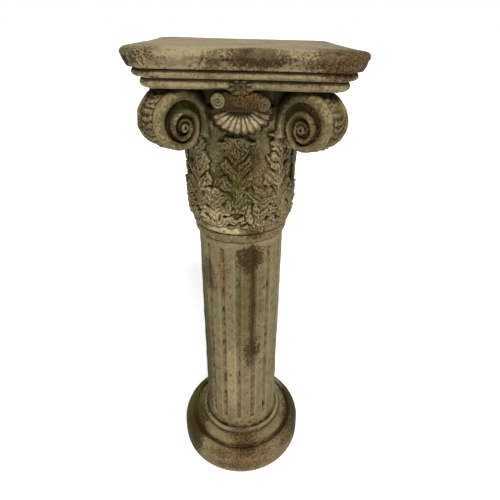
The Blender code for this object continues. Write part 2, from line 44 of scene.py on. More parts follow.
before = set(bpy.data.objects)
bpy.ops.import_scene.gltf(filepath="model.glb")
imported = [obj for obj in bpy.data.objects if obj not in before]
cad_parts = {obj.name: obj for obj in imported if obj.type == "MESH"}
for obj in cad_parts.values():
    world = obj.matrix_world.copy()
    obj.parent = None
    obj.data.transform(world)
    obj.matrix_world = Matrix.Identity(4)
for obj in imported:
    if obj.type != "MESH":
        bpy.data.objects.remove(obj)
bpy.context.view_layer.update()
NODE = "column_plinth"
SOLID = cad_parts[NODE].data
SOLID_TREE = BVHTree.FromPolygons([vert.co for vert in SOLID.vertices],
                                  [face.vertices for face in SOLID.polygons])

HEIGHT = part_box(NODE)[1][2]
FACES = 4

# Slab
SLAB_SHIFT = 0.0065
SLAB_HALF_WIDTH = 0.1645
SLAB_SIDE_HOLLOW = 0.005
SLAB_CORNER_CUT = 0.028
ROLL_HEIGHT = 0.0265
MIDDLE_BAND_HEIGHT = 0.0122
LOWER_BAND_HEIGHT = 0.0135
SLAB_FOOT_Z = HEIGHT - ROLL_HEIGHT - MIDDLE_BAND_HEIGHT - LOWER_BAND_HEIGHT

# Shaft and neck
SHAFT_FOOT_Z = 0.0905
SHAFT_LENGTH = 0.4915
SHAFT_FOOT_RADIUS = 0.0822
SHAFT_TOP_RADIUS = 0.0808
GROOVE_RADIUS = 0.0815
GROOVE_FOOT_Z = 0.1165
GROOVE_TOP_Z = 0.5640
NECK_RADIUS = 0.0806
# Middle height, half height and proudness of each neck ring
NECK_RINGS = ((0.5955, 0.0090, 0.0060), (0.6122, 0.0080, 0.0100))

# Bell
BELL_TURN = math.radians(-3.4)
BELL_FOOT_Z = 0.620
BELL_FOOT_RADIUS = 0.0880
BELL_RADIUS = 0.0905
BELL_BELLY_RISE = 0.030
BELL_FLARE_Z = 0.728
BELL_LIP_Z = 0.798
BELL_LIP_RADIUS = 0.112
# Leaves of one face: place in half faces, foot, height, half width, lobes, relief, curl, stem width
LEAVES = (
    (0.0, 0.650, 0.126, 0.029, 4, 0.0044, 0.0108, 0.0020),
    (1.0, 0.650, 0.133, 0.029, 4, 0.0044, 0.0108, 0.0052),
    (0.5, 0.616, 0.072, 0.037, 3, 0.0050, 0.0084, 0.0026),
    (1.5, 0.616, 0.072, 0.037, 3, 0.0050, 0.0084, 0.0026),
)
LEAF_LEAN = 0.0030
# Headings of the fingers of a leaf's tip, in degrees
CURL_HEADINGS = (176, -158, 141, -129, 112, -99, 84, -71, 50, -38, 14, -12)
# Buds of one face: turn in degrees, foot, height, half width
BUDS = ((11.5, 0.6265, 0.0400, 0.0108), (-8.0, 0.6540, 0.0270, 0.0085))
BUD_PROUD = 0.0072
LOBE_TURN = math.radians(54.0)
LOBE_FOOT_Z = 0.6225
LOBE_HEIGHT = 0.0500
LOBE_HALF_WIDTH = 0.0170
LOBE_PROUD = 0.0070
LOBE_CREASE = 0.0018
# Beads of one string beside a scroll: height and size
BEADS = ((0.7650, 0.0066), (0.7555, 0.0050), (0.7470, 0.0045), (0.7395, 0.0039))
BEAD_TURN = math.radians(36.5)

# The rosettes stand over the shaft, to one side of the slab's middle
ROSETTE_SIDE = -0.0072
ROSETTE_HALF_WIDTH = 0.0205
ROSETTE_HALF_HEIGHT = 0.0125
ROSETTE_PROUD = 0.0085

# Bolster and shell
BOLSTER_HALF_LENGTH = 0.033
BOLSTER_OUT = 0.127
BOLSTER_RADIUS = 0.0118
SHELL_RIBS = 12
SHELL_HALF_WIDTH = 0.0510
SHELL_HEIGHT = 0.0430

# Corner scrolls
SCROLL_EYE_OUT = 0.142
SCROLL_EYE_Z = 0.793
SCROLL_SHIFT = 0.004
SCROLL_START = -0.32
SCROLL_END = 2.35

# The cast slab and scrolls lean a little to the right of the shaft
CAPITAL_LEAN = math.radians(0.9)
LEAN_CENTRE = Vector((0.0, 0.0, 0.845))

# Wear of each form: lump size, octaves, seed, height
WEAR = {
    "shaft": ((0.034, 2, 11, 0.0008), (0.0045, 1, 17, 0.00022)),
    "neck": ((0.014, 3, 43, 0.0009), (0.0046, 1, 45, 0.0003)),
    "bell": ((0.016, 3, 41, 0.0008), (0.0036, 1, 47, 0.0006)),
    "bell_ground": ((0.0075, 1, 51, 0.0007),),
    "leaves_aside": ((0.017, 1, 31, 0.0040), (0.009, 1, 32, 0.0024), (0.005, 1, 36, 0.0010)),
    "leaves_up": ((0.017, 1, 33, 0.0042), (0.009, 1, 34, 0.0024), (0.005, 1, 37, 0.0010)),
    "slab": ((0.045, 3, 61, 0.0010), (0.0065, 1, 67, 0.0004)),
    "scroll": ((0.013, 3, 83, 0.0007), (0.0045, 1, 87, 0.0003)),
}
# Chips and pits: lump size, octaves, seed, level above which the stone is gone, depth
CHIPS = {
    "shaft": ((0.0052, 1, 23, 0.62, 0.0022), (0.012, 2, 29, 0.75, 0.0022)),
    "neck": ((0.010, 2, 49, 0.65, 0.0030),),
    "slab": ((0.011, 2, 73, 0.80, 0.0035),),
    "slab_corners": ((0.016, 3, 71, 0.15, 0.0045),),
}

# Hollows: name, smoothing steps, depth of a full hollow
HOLLOWS = (("fine_hollow", 3, 0.0012), ("wide_hollow", 22, 0.0060))
# Shelter by the piece itself and by the whole plinth, which darkens the colour as painted shade: lift off
# the surface, reach, rays
NEAR_SHELTER = (0.0005, 0.010, 6)
FAR_SHELTER = (0.008, 0.070, 8)
GOLDEN_ANGLE = 2.399963

# Stone: depth of its grain, gloss, and the share of a stain that is taken off the ridges, which are worn
# and also carry a painted highlight
GRAIN_DISTANCE = 0.0012
STONE_GLOSS = 0.10
STAIN_OFF_HIGHLIT_RIDGES = 0.58

# Camera, as the photo was taken, in plinth heights and radians
CAMERA_AWAY = 0.7817957
CAMERA_UP = 1.0330125
CAMERA_SWING = 0.0256055
CAMERA_DIP = 0.5218439
CAMERA_ROLL = 0.0111012
CAMERA_LENS = 28.8
CAMERA_SENSOR = 36.0

# Stage
FLOOR_REACH = 60.0
LIGHT_PLACE = (0.42, -1.95, 2.6)
LIGHT_TARGET = (0.0, 0.0, 0.5)


def unit(value):
    """A value held between zero and one."""
    return np.clip(value, 0.0, 1.0)


def full_circle(steps):
    """Evenly spaced angles of one turn."""
    return np.linspace(0.0, math.tau, steps, endpoint=False)


def as_points(*parts):
    """Points from their coordinates."""
    return np.stack(parts, axis=-1)


def smooth_step(low, high, value):
    """Zero below low, one above high, and an even S between them."""
    share = unit((value - low) / (high - low))
    return share * share * (3.0 - 2.0 * share)


def lattice_value(ix, iy, iz, seed):
    """A repeatable number from 0 to 1 for each lattice cell."""
    mixed = (ix.astype(np.int64) * 374761393 + iy.astype(np.int64) * 668265263
             + iz.astype(np.int64) * 1274126177 + seed * 974634777) & 0xFFFFFFFF
    mixed = ((mixed ^ (mixed >> 13)) * 1103515245) & 0xFFFFFFFF
    mixed = ((mixed ^ (mixed >> 16)) * 2246822519) & 0xFFFFFFFF
    return ((mixed ^ (mixed >> 15)) & 0xFFFF) / 65535.0


def worn(points, size, seed=0):
    """Soft random field from -1 to 1 over points, with lumps of about one size."""
    scaled = points / size
    cell = np.floor(scaled)
    part = scaled - cell
    part = part * part * (3.0 - 2.0 * part)
    total = np.zeros(points.shape[:-1])
    for corner in range(8):
        offset = np.array([corner & 1, (corner >> 1) & 1, (corner >> 2) & 1])
        at = cell + offset
        weight = np.prod(np.where(offset == 1, part, 1.0 - part), axis=-1)
        total += weight * lattice_value(at[..., 0], at[..., 1], at[..., 2], seed)
    return total * 2.0 - 1.0


def rough(points, size, octaves, seed=0):
    """Several sizes of worn field on top of each other."""
    total = np.zeros(points.shape[:-1])
    share = 1.0
    for octave in range(octaves):
        total += share * worn(points, size / 2 ** octave, seed + octave)
        share *= 0.55
    return total


def skin(rows, around=True):
    """Points and faces of a skin through rows of points, closed at both ends if the rows are rings."""
    count, columns = rows.shape[:2]
    index = np.arange(count * columns).reshape(count, columns)
    after = np.roll(index, -1, axis=1)
    if not around:
        index, after = index[:, :-1], after[:, :-1]
    faces = as_points(index[:-1], after[:-1], after[1:], index[1:]).reshape(-1, 4).tolist()
    points = rows.reshape(-1, 3)
    if around:
        first, end = len(points), len(points) - columns
        points = np.concatenate([points, [rows[0].mean(axis=0), rows[-1].mean(axis=0)]])
        for i in range(columns):
            j = (i + 1) % columns
            faces += [(first, j, i), (first + 1, end + i, end + j)]
    return points, faces


def wear_of(piece, points):
    """How far the wear of a piece lifts or lowers its surface at points."""
    return sum(rough(points, size, octaves, seed) * height for size, octaves, seed, height in WEAR[piece])


def chips_of(piece, points):
    """Depth of the chips and pits of a piece at points."""
    return sum(unit(rough(points, size, octaves, seed) - level) * depth
               for size, octaves, seed, level, depth in CHIPS[piece])


def joined(skins):
    """Several skins as one set of points and faces."""
    points, faces, start = [], [], 0
    for skin_points, skin_faces in skins:
        points.append(skin_points)
        faces += [tuple(start + i for i in face) for face in skin_faces]
        start += len(skin_points)
    return np.concatenate(points), faces


def smoothed_over(edges, values, steps):
    """Values at the points of a mesh, evened out along its edges."""
    near, far = edges.T
    count = len(values)
    degree = np.maximum(np.bincount(near, minlength=count) + np.bincount(far, minlength=count), 1)
    values = values.copy()
    for _ in range(steps):
        for axis in range(values.shape[1]):
            total = (np.bincount(near, values[far, axis], minlength=count)
                     + np.bincount(far, values[near, axis], minlength=count))
            values[:, axis] = 0.4 * values[:, axis] + 0.6 * total / degree
    return values


def spread_ways(normals, rays, seed):
    """Directions spread over the open side of each point, denser straight out."""
    count = len(normals)
    order = np.arange(count)
    spin = lattice_value(order, order * 0, order * 0, seed) * math.tau
    helper = np.where(np.abs(normals[:, 2:3]) < 0.9, [[0.0, 0.0, 1.0]], [[1.0, 0.0, 0.0]])
    first = np.cross(helper, normals)
    first /= np.maximum(np.linalg.norm(first, axis=1, keepdims=True), 1e-9)
    second = np.cross(normals, first)
    ways = []
    for i in range(rays):
        aside = (i + 0.5) / rays
        angle = (spin + i * GOLDEN_ANGLE)[:, None]
        level = first * np.cos(angle) + second * np.sin(angle)
        ways.append(level * math.sqrt(aside) + normals * math.sqrt(1.0 - aside))
    return np.stack(ways, axis=1)


def sheltered(points, normals, tree, lift, reach, rays):
    """Share of the directions in which stone stands within reach of each point."""
    starts = (points + normals * lift).tolist()
    ways = spread_ways(normals, rays, 5).tolist()
    blocked = [sum(tree.ray_cast(start, way, reach)[0] is not None for way in around)
               for start, around in zip(starts, ways)]
    return np.array(blocked) / rays


def mark_hollows(mesh, turn):
    """Store how deep each point lies, for the patina that settles in the hollows, and how sheltered it
    lies, for painted shade.
    """
    count = len(mesh.vertices)
    points = np.empty(count * 3)
    normals = np.empty(count * 3)
    edges = np.empty(len(mesh.edges) * 2, dtype=np.int64)
    mesh.vertices.foreach_get("co", points)
    mesh.vertex_normals.foreach_get("vector", normals)
    mesh.edges.foreach_get("vertices", edges)
    points = points.reshape(-1, 3)
    normals = normals.reshape(-1, 3)
    edges = edges.reshape(-1, 2)
    smoothed = points
    values = {}
    for name, steps, gain in HOLLOWS:
        smoothed = smoothed_over(edges, smoothed, steps)
        depth = np.einsum("ij,ij->i", smoothed - points, normals)
        values[name] = unit(0.5 + depth / gain)
    own_tree = BVHTree.FromPolygons(points.tolist(), [face.vertices for face in mesh.polygons])
    close = sheltered(points, normals, own_tree, *NEAR_SHELTER)
    turned = np.array(turn or Matrix.Identity(4))
    world_points = points @ turned[:3, :3].T + turned[:3, 3]
    far = sheltered(world_points, normals @ turned[:3, :3].T, SOLID_TREE, *FAR_SHELTER)
    shelter = smoothed_over(edges, np.stack([close, far], axis=1), 3)
    values["near_shelter"], values["far_shelter"] = shelter[:, 0], shelter[:, 1]
    for name, value in values.items():
        layer = mesh.attributes.new(name, "FLOAT", "POINT")
        layer.data.foreach_set("value", value.astype(np.float32))


def stone_piece(name, skin_data, material, turn=None):
    """Make one stone piece from its skin, with its hollows marked."""
    points, faces = skin_data
    mesh = bpy.data.meshes.new(name)
    mesh.from_pydata(points.tolist(), [], faces)
    mesh.update()
    mesh.shade_smooth()
    mark_hollows(mesh, turn)
    mesh.materials.append(material)
    return placed(name, mesh, turn)


def placed(name, mesh, turn=None):
    """Put one mesh on the column and tell the frame about it."""
    obj = bpy.data.objects.new(name, mesh)
    bpy.context.scene.collection.objects.link(obj)
    if turn is not None:
        obj.matrix_world = turn
    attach(obj, "root")
    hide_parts(NODE)
    return obj


def face_turn(index, offset=0.0):
    """Turn from the front to one of the four faces."""
    return Matrix.Rotation(offset + index * math.tau / FACES, 4, "Z")


def capital_lean(shift):
    """The slight lean of the capital, with a sideways shift."""
    centre = Matrix.Translation(LEAN_CENTRE)
    lean = centre @ Matrix.Rotation(CAPITAL_LEAN, 4, "Y") @ centre.inverted()
    return lean @ Matrix.Translation((shift, 0.0, 0.0))


def arc(centre, radius, start, end, steps):
    """Points (out, up) on an arc with its own width and height, angles in degrees."""
    angles = np.radians(np.linspace(start, end, steps))
    return [(centre[0] + radius[0] * math.cos(a), centre[1] + radius[1] * math.sin(a)) for a in angles]


def base_profile():
    """Half section of the base, from the foot up to the shaft."""
    points = [(0.1425, 0.0), (0.1433, 0.0012)]
    points += [(0.1440, z) for z in np.linspace(0.0045, 0.0300, 8)]
    points += arc((0.1275, 0.0300), (0.0165, 0.0312), 6, 100, 22)
    points += [(0.1228, 0.0592), (0.1206, 0.0566), (0.1186, 0.0547), (0.1168, 0.0540), (0.1156, 0.0544)]
    points += arc((0.1000, 0.0575), (0.0150, 0.0160), -6, 84, 14)
    points += [(0.0975, 0.0735), (0.0935, 0.0737)]
    points += arc((0.0885, 0.0790), (0.0060, 0.0055), -66, 88, 10)
    points += [(0.0868, 0.0850), (0.0856, 0.0862), (0.0848, 0.0890), (0.0841, 0.0930), (0.0835, 0.0985),
               (0.0831, 0.1035), (0.0827, 0.1075)]
    return points


class StoneSizes(bpy.types.PropertyGroup):
    """Sizes a user may change"""

    groove_count: IntProperty(name="Grooves", description="Grooves around the shaft", default=16, min=4)
    groove_half_width: FloatProperty(name="Groove half width", description="Half the width of a groove",
                                     default=0.0062, unit="LENGTH")
    groove_depth: FloatProperty(name="Groove depth", description="Depth of a groove", default=0.0042,
                                unit="LENGTH")
    groove_turn: FloatProperty(name="Groove turn", description="Turn of the first groove from the front",
                               default=math.radians(-4.2), subtype="ANGLE")
    leaf_relief: FloatProperty(name="Leaf relief", description="How far the leaves stand off the bell",
                               default=1.15, min=0.2, max=1.5)
    scroll_thickness: FloatProperty(name="Scroll thickness", description="Thickness of a corner scroll",
                                    default=0.054, unit="LENGTH")
    wear: FloatProperty(name="Wear", description="Strength of the worn, uneven surface", default=1.0,
                        min=0.0, max=2.0)


class StoneFinish(bpy.types.PropertyGroup):
    """Colours of the stone and its patina"""

    stone: FloatVectorProperty(name="Stone", description="Colour of the bare stone", subtype="COLOR",
                               size=4, default=(0.300, 0.236, 0.128, 1.0), min=0.0, max=1.0)
    # The worn-edge colour also paints the highlight along the ridges
    pale: FloatVectorProperty(name="Worn edge and highlight", description="Colour of rubbed edges", subtype="COLOR",
                              size=4, default=(0.590, 0.480, 0.265, 1.0), min=0.0, max=1.0)
    patina: FloatVectorProperty(name="Patina", description="Colour of the dark patina", subtype="COLOR",
                                size=4, default=(0.020, 0.0125, 0.0025, 1.0), min=0.0, max=1.0)
    moss: FloatVectorProperty(name="Moss", description="Colour of the green film", subtype="COLOR",
                              size=4, default=(0.072, 0.070, 0.013, 1.0), min=0.0, max=1.0)
    rust: FloatVectorProperty(name="Rust", description="Colour of the rusty stains", subtype="COLOR",
                              size=4, default=(0.170, 0.082, 0.022, 1.0), min=0.0, max=1.0)


class StageSettings(bpy.types.PropertyGroup):
    """Floor and light of the stage"""

    floor: FloatVectorProperty(name="Floor", description="Colour of the floor", subtype="COLOR", size=4,
                               default=(0.93, 0.93, 0.93, 1.0), min=0.0, max=1.0)
    floor_glow: FloatProperty(name="Floor glow", default=0.35, min=0.0,
                              description="Light of the floor paper itself, lit from below")
    key_power: FloatProperty(name="Main light", description="Strength of the main light", default=3.1,
                             min=0.0)
    key_size: FloatProperty(name="Light size", description="Width of the main light seen from the plinth",
                            default=math.radians(20.0), subtype="ANGLE")
    sky: FloatProperty(name="Sky light", description="Strength of the even light all round", default=0.38,
                       min=0.0)
    backdrop: FloatProperty(name="Backdrop", description="Strength of the light behind the plinth",
                            default=1.0, min=0.0)


def sizes():
    """The sizes set in the panel."""
    return bpy.context.scene.plinth_sizes


def groove_depth_at(angle, z):
    """Depth of the grooves at points of the shaft, with rounded ends."""
    s = sizes()
    pitch = math.tau / s.groove_count
    local = (angle - s.groove_turn + pitch / 2) % pitch - pitch / 2
    beyond = np.maximum(0.0, np.maximum(GROOVE_FOOT_Z - z, z - GROOVE_TOP_Z))
    distance = np.hypot(local * GROOVE_RADIUS, beyond)
    share = unit(distance / s.groove_half_width)
    return s.groove_depth * (1.0 - share ** 2) ** 0.85


def shaft_skin():
    """The round base and the grooved shaft as one skin."""
    s = sizes()
    local = np.concatenate([np.linspace(-0.20, 0.20, 12), np.linspace(0.20, 0.80, 10)[1:-1]])
    angles = np.concatenate([(local + i) * math.tau / s.groove_count for i in range(s.groove_count)])
    heights = np.concatenate([np.linspace(0.1105, 0.1240, 12), np.linspace(0.1300, 0.5500, 56),
                              np.linspace(0.5560, 0.5720, 13), [0.5760, 0.5800, 0.5850]])
    taper = (SHAFT_TOP_RADIUS - SHAFT_FOOT_RADIUS) / SHAFT_LENGTH
    shaft = [(SHAFT_FOOT_RADIUS + taper * (z - SHAFT_FOOT_Z), z) for z in heights]
    profile = np.array(base_profile() + shaft)
    radius = profile[:, :1]
    turned, height = np.meshgrid(angles + s.groove_turn, profile[:, 1])
    place = around_column(turned, radius, height)
    worn_away = (wear_of("shaft", place) - chips_of("shaft", place)) * unit(height / 0.004)
    out = radius - groove_depth_at(turned, height) + s.wear * worn_away
    return skin(around_column(turned, out, height))


def bell_radius(z, angle=0.0):
    """Radius of the bare bell, which flares more towards the faces than the corners."""
    belly = unit((z - BELL_FOOT_Z) / BELL_BELLY_RISE)
    low = BELL_FOOT_RADIUS + (BELL_RADIUS - BELL_FOOT_RADIUS) * np.sin(belly * math.pi / 2)
    flare = unit((z - BELL_FLARE_Z) / (BELL_LIP_Z - BELL_FLARE_Z))
    lip = BELL_LIP_RADIUS - BELL_RADIUS
    towards_face = 0.5 + 0.5 * np.cos(FACES * np.asarray(angle))
    return low + lip * (0.45 + 0.55 * towards_face) * flare ** 2


def neck_radius(z):
    """Outline of the two neck rings below the bell."""
    rings = [np.sqrt(unit(1.0 - np.abs((z - middle) / half) ** 2.6)) * proud
             for middle, half, proud in NECK_RINGS]
    return NECK_RADIUS + np.maximum(*rings)


def finger(side, up, start, heading, length, width, height, bend=0.0):
    """Height of one tapering finger of a leaf at points beside and above the leaf's foot."""
    sine, cosine = math.sin(heading), math.cos(heading)
    along = ((side - start[0]) * sine + (up - start[1]) * cosine) / length
    across = (side - start[0]) * cosine - (up - start[1]) * sine
    across = across - bend * length * along * along
    swell = 0.45 + 0.75 * np.sin(unit(along) * 2.2)
    half = width * swell
    tip = unit(along - 0.80) / 0.20
    share = (across / half) ** 2 + tip ** 2
    share = np.where(along < 0.0, share + (along * length / width) ** 2, share)
    body = np.sqrt(unit(1.0 - share))
    vein = 0.22 * np.exp(-(across / (0.22 * width)) ** 2)
    return height * (body * (0.72 + 0.28 * unit(along)) - vein * (body > 0.3))


def leaf_height(side, up, height, half_width, lobes, relief, stem_width, seed):
    """Height of a lobed leaf whose veins rise from its stem and arch over, in the leaf's own plane."""
    mirrored = np.abs(side)
    rise = up / height
    out = np.clip(mirrored / half_width, 0.0, 1.2)
    uneven = 0.10 * math.sin(seed * 2.4) * np.sign(side) + 0.04 * math.sin(seed * 5.1)
    lobe = (rise - 0.62 * out + 0.40 * out ** 2) * (lobes + 0.3) + 0.55 + uneven * 2.0
    within = lobe - np.floor(lobe)
    taper = 0.66 + 0.34 * np.sin(math.pi * unit(rise * 0.95 + 0.22))
    scallop = 0.62 + 0.38 * np.sin(math.pi * within) ** 0.5
    vein = np.abs(np.sin(math.pi * (lobe * 2.3 + 0.30 * np.sin(out * 9.0 + seed))))
    edge = half_width * taper * scallop * (0.86 + 0.14 * vein)
    inside = smooth_step(0.0, 0.0015, edge - mirrored) * (up > 0.0) * (up < height)
    blade = relief * (0.22 + 0.26 * out + 0.50 * within + 0.52 * vein ** 0.6)
    between = np.minimum(within, 1.0 - within) * height / (lobes + 0.3)
    hole = ((mirrored - 0.42 * half_width) / 0.0058) ** 2 + (between / 0.0034) ** 2
    blade = np.where(hole < 1.0, blade * (0.02 + 0.4 * hole ** 2), blade) * inside
    stem = unit(1.0 - (mirrored / (stem_width * (1.0 - 0.45 * unit(rise)))) ** 2)
    stem = np.sqrt(stem) * relief * 1.05 * (up > 0.0) * (rise < 0.80)
    return np.maximum(blade, stem)


def leaf_curl(side, up, height, half_width, curl, seed):
    """Height of the leaf's tip, which rolls over and hangs down in ragged fingers."""
    crown = height * 0.95
    total = np.zeros_like(side)
    for i, heading in enumerate(CURL_HEADINGS):
        part = (0.98 if heading % 2 else 0.84) * (0.86 + 0.14 * math.sin(seed * 3.1 + i * 2.3))
        part *= 0.52 if abs(heading) < 60 else 1.0
        start = (0.0040 * math.sin(i * 2.9 + seed), crown - 0.0025 + 0.0030 * math.sin(i * 1.7 + seed))
        total = np.maximum(total, finger(side, up, start, math.radians(heading), half_width * 0.90 * part,
                                         0.0029, curl * (0.74 + 0.26 * part),
                                         bend=0.20 if heading > 0 else -0.20))
    return total


def leaf_lift(up, height):
    """How far the blade of a leaf leans out from the bell as it rises."""
    share = unit(up / height)
    return LEAF_LEAN * (0.35 * share + 0.65 * share ** 3)


def wrapped(angle):
    """The same angle between minus half a turn and half a turn."""
    return (angle + math.pi) % math.tau - math.pi


def leaf_on_bell(relief, angle, z, at, foot, height, half_width, lobes, rise, curl, stem_width):
    """Lay one leaf over the relief that is already there."""
    side = wrapped(angle - at) * BELL_RADIUS
    up = z - foot
    seed = at * 7.0 + lobes
    blade = leaf_height(side, up, height, half_width, lobes, rise, stem_width, seed)
    lifted = np.where(blade > 0.0002, blade + leaf_lift(up, height), 0.0)
    tip = leaf_curl(side, up, height, half_width, curl, seed)
    return np.maximum(relief, np.maximum(lifted, tip))


def inside_form(side, share, half):
    """One on the middle line of an upright form, zero at its edge and past its ends."""
    inside = unit(1.0 - (side / np.maximum(half, 1e-5)) ** 2)
    return inside * (share > 0) * (share < 1)


def bell_relief(angle, z):
    """Carving on the bell: two rows of leaves, buds, corner lobes and the hollows between them."""
    place = around_column(angle, BELL_RADIUS, z)
    angle = angle - BELL_TURN + wear_of("leaves_aside", place) / BELL_RADIUS
    z = z + wear_of("leaves_up", place)
    relief = np.zeros_like(z)
    for half_faces, *leaf in LEAVES:
        for face in range(FACES):
            at = (2 * face + half_faces) * math.tau / (2 * FACES)
            relief = leaf_on_bell(relief, angle, z, at, *leaf)
    for face in range(FACES):
        at = face * math.tau / FACES
        for turn, foot, tall, wide in BUDS:
            side = wrapped(angle - at - math.radians(turn)) * BELL_RADIUS
            share = (z - foot) / tall
            half = wide * np.sqrt(unit(share * 4.0)) * unit(1.0 - share) ** 0.5
            inside = inside_form(side, share, half)
            relief = np.where(inside > 0.0, np.maximum(relief * 0.2, BUD_PROUD * np.sqrt(inside)), relief)
        if face % 2 == 0:
            side = wrapped(angle - at - LOBE_TURN) * BELL_RADIUS
            share = (z - LOBE_FOOT_Z) / LOBE_HEIGHT
            half = LOBE_HALF_WIDTH * unit(1.02 - share) ** 0.45
            inside = inside_form(side, share, half * (0.60 + 0.40 * unit(share * 5)))
            crease = LOBE_CREASE * np.exp(-((side - 0.002) / 0.0022) ** 2)
            lobe = LOBE_PROUD * inside ** 0.4 - crease * inside
            relief = np.where(inside > 0.02, np.maximum(relief * 0.2, lobe), relief)
    carved = smooth_step(0.0006, 0.0030, relief)
    crinkle = 1.0 - 2.0 * np.abs(worn(place * np.array([1.0, 1.0, 0.6]), 0.0050, 35))
    upper = smooth_step(0.745, 0.775, z)
    return relief + crinkle * 0.0010 * (0.25 + 0.75 * carved) * (1.0 - 0.5 * upper)


def ring_of_stone(columns, heights):
    """Angles and heights of a grid all round the column."""
    return np.meshgrid(full_circle(columns), heights)


def around_column(angle, radius, z):
    """Points at angles from the front, distances from the axis and heights."""
    return as_points(np.sin(angle) * radius, -np.cos(angle) * radius, z)


def neck_skin():
    """The two neck rings between the shaft and the bell."""
    turned, height = ring_of_stone(320, np.linspace(0.5800, 0.6215, 44))
    radius = neck_radius(height)
    flat = around_column(turned, radius, height)
    worn_away = wear_of("neck", flat) - chips_of("neck", flat)
    return skin(around_column(turned, radius + sizes().wear * worn_away, height))


def bell_skin():
    """The carved bell."""
    s = sizes()
    heights = np.concatenate([np.linspace(0.6190, 0.7860, 140), np.linspace(0.7900, 0.8520, 8)])
    turned, height = ring_of_stone(640, heights)
    carved = bell_relief(wrapped(turned), height) * s.leaf_relief
    fade = smooth_step(0.6180, 0.6225, height)
    radius = bell_radius(height, turned)
    flat = around_column(turned, radius, height)
    ground = fade * (1.0 - smooth_step(0.0, 0.0020, carved)) * wear_of("bell_ground", flat)
    worn_away = s.wear * (wear_of("bell", flat) + ground)
    return skin(around_column(turned, radius + fade * carved + worn_away, height))


def slab_section():
    """Inset and height of the slab's side, from its foot to the rim of the top."""
    foot, band = SLAB_FOOT_Z, SLAB_FOOT_Z + LOWER_BAND_HEIGHT
    roll = band + MIDDLE_BAND_HEIGHT
    lower = ((0.0480, -0.0005), (0.0312, -0.0003), (0.0288, 0.0003), (0.0264, 0.0013), (0.0245, 0.0027),
             (0.0231, 0.0043), (0.0224, 0.0060), (0.0222, 0.0075), (0.0224, 0.0090), (0.0229, 0.0105),
             (0.0236, 0.0119), (0.0246, 0.0130), (0.0262, 0.0136))
    middle = ((0.0240, 0.0002), (0.0204, 0.0006), (0.0175, 0.0014), (0.0152, 0.0027), (0.0138, 0.0042),
              (0.0131, 0.0057), (0.0129, 0.0070), (0.0131, 0.0083), (0.0137, 0.0098), (0.0147, 0.0111),
              (0.0162, 0.0119))
    points = [(inset, foot + up) for inset, up in lower] + [(inset, band + up) for inset, up in middle]
    upper = ((0.0130, 0.0003), (0.0088, 0.0006), (0.0072, 0.0016), (0.0058, 0.0044), (0.0044, 0.0074),
             (0.0030, 0.0104), (0.0016, 0.0134), (0.0005, 0.0160), (0.0000, 0.0180), (0.0006, 0.0199),
             (0.0022, 0.0219), (0.0046, 0.0237), (0.0076, 0.0251), (0.0112, 0.0260), (0.0155, 0.0264),
             (0.0200, 0.0265))
    points += [(inset, roll + up) for inset, up in upper]
    return points


def slab_skin():
    """The square slab with its roll and two bands."""
    side_steps, corner_steps = 112, 18
    rows = []
    for inset, z in slab_section():
        half = SLAB_HALF_WIDTH - inset
        cut = max(0.004, SLAB_CORNER_CUT - inset * (2 - math.sqrt(2)))
        run = half - cut
        outline = []
        for face in range(FACES):
            angle = face * math.tau / FACES
            along = np.linspace(-1.0, 1.0, side_steps)
            x = run * along
            y = -half + SLAB_SIDE_HOLLOW * (1.0 - along * along)
            between = np.linspace(0.0, 1.0, corner_steps + 2)[1:-1]
            x = np.concatenate([x, run + cut * between])
            y = np.concatenate([y, -half + cut * between])
            outline.append(as_points(x * math.cos(angle) - y * math.sin(angle),
                                     x * math.sin(angle) + y * math.cos(angle)))
        ring = np.concatenate(outline)
        for _ in range(5):
            ring = 0.5 * ring + 0.25 * (np.roll(ring, 1, axis=0) + np.roll(ring, -1, axis=0))
        rows.append(np.concatenate([ring, np.full((len(ring), 1), z)], axis=-1))
    rim = rows[-1]
    for share in (0.93, 0.84, 0.72, 0.58, 0.42, 0.25, 0.10):
        rows.append(rim * np.array([share, share, 1.0]))
    rows = np.stack(rows)
    outward = rows[..., :2] / np.linalg.norm(rows[..., :2], axis=-1, keepdims=True)
    side = 1.0 - smooth_step(HEIGHT - 0.003, HEIGHT - 0.0002, rows[..., 2])
    corner = smooth_step(0.190, 0.215, np.linalg.norm(rows[..., :2], axis=-1))
    knocks = chips_of("slab_corners", rows) * corner + chips_of("slab", rows)
    move = sizes().wear * side * (wear_of("slab", rows) - knocks)
    rows[..., :2] += outward * move[..., None]
    rows[..., 2] -= 0.0004 * (1.0 + worn(rows, 0.05, 79)) * (1 - side)
    return skin(rows)


def scroll_outline(turn):
    """Outer radius of a scroll after some turns from its top."""
    reach = 1.0 - smooth_step(0.15, 0.46, turn)
    return 0.0375 - 0.0121 * np.maximum(turn, 0.0) + 0.0166 * reach


def scroll_band_width(turn):
    """Width of the raised band after some turns from its top."""
    wide = 1.0 - smooth_step(0.22, 0.55, turn)
    return 0.0090 - 0.0013 * turn + 0.0068 * wide


def scroll_section():
    """Section of the scroll's band: share of its width, share of its depth, share of leafwork."""
    face_steps, edge_steps = 18, 34
    section = []
    for i in range(face_steps):
        side = 1.0 - 2.0 * i / (face_steps - 1)
        section.append((0.5 + 0.5 * side, 1.0 - 0.17 * abs(side) ** 2.4, 0.0))
    for y in np.linspace(1.0, -1.0, edge_steps)[1:-1]:
        hollow = 1.0 - smooth_step(0.56, 0.80, abs(y))
        section.append((0.20 * hollow - 0.05, y * 0.83, 1.0 - smooth_step(0.36, 0.60, abs(y))))
    far_face = [(across, -depth, leaf) for across, depth, leaf in section[face_steps - 1::-1]]
    return np.array(section + far_face)


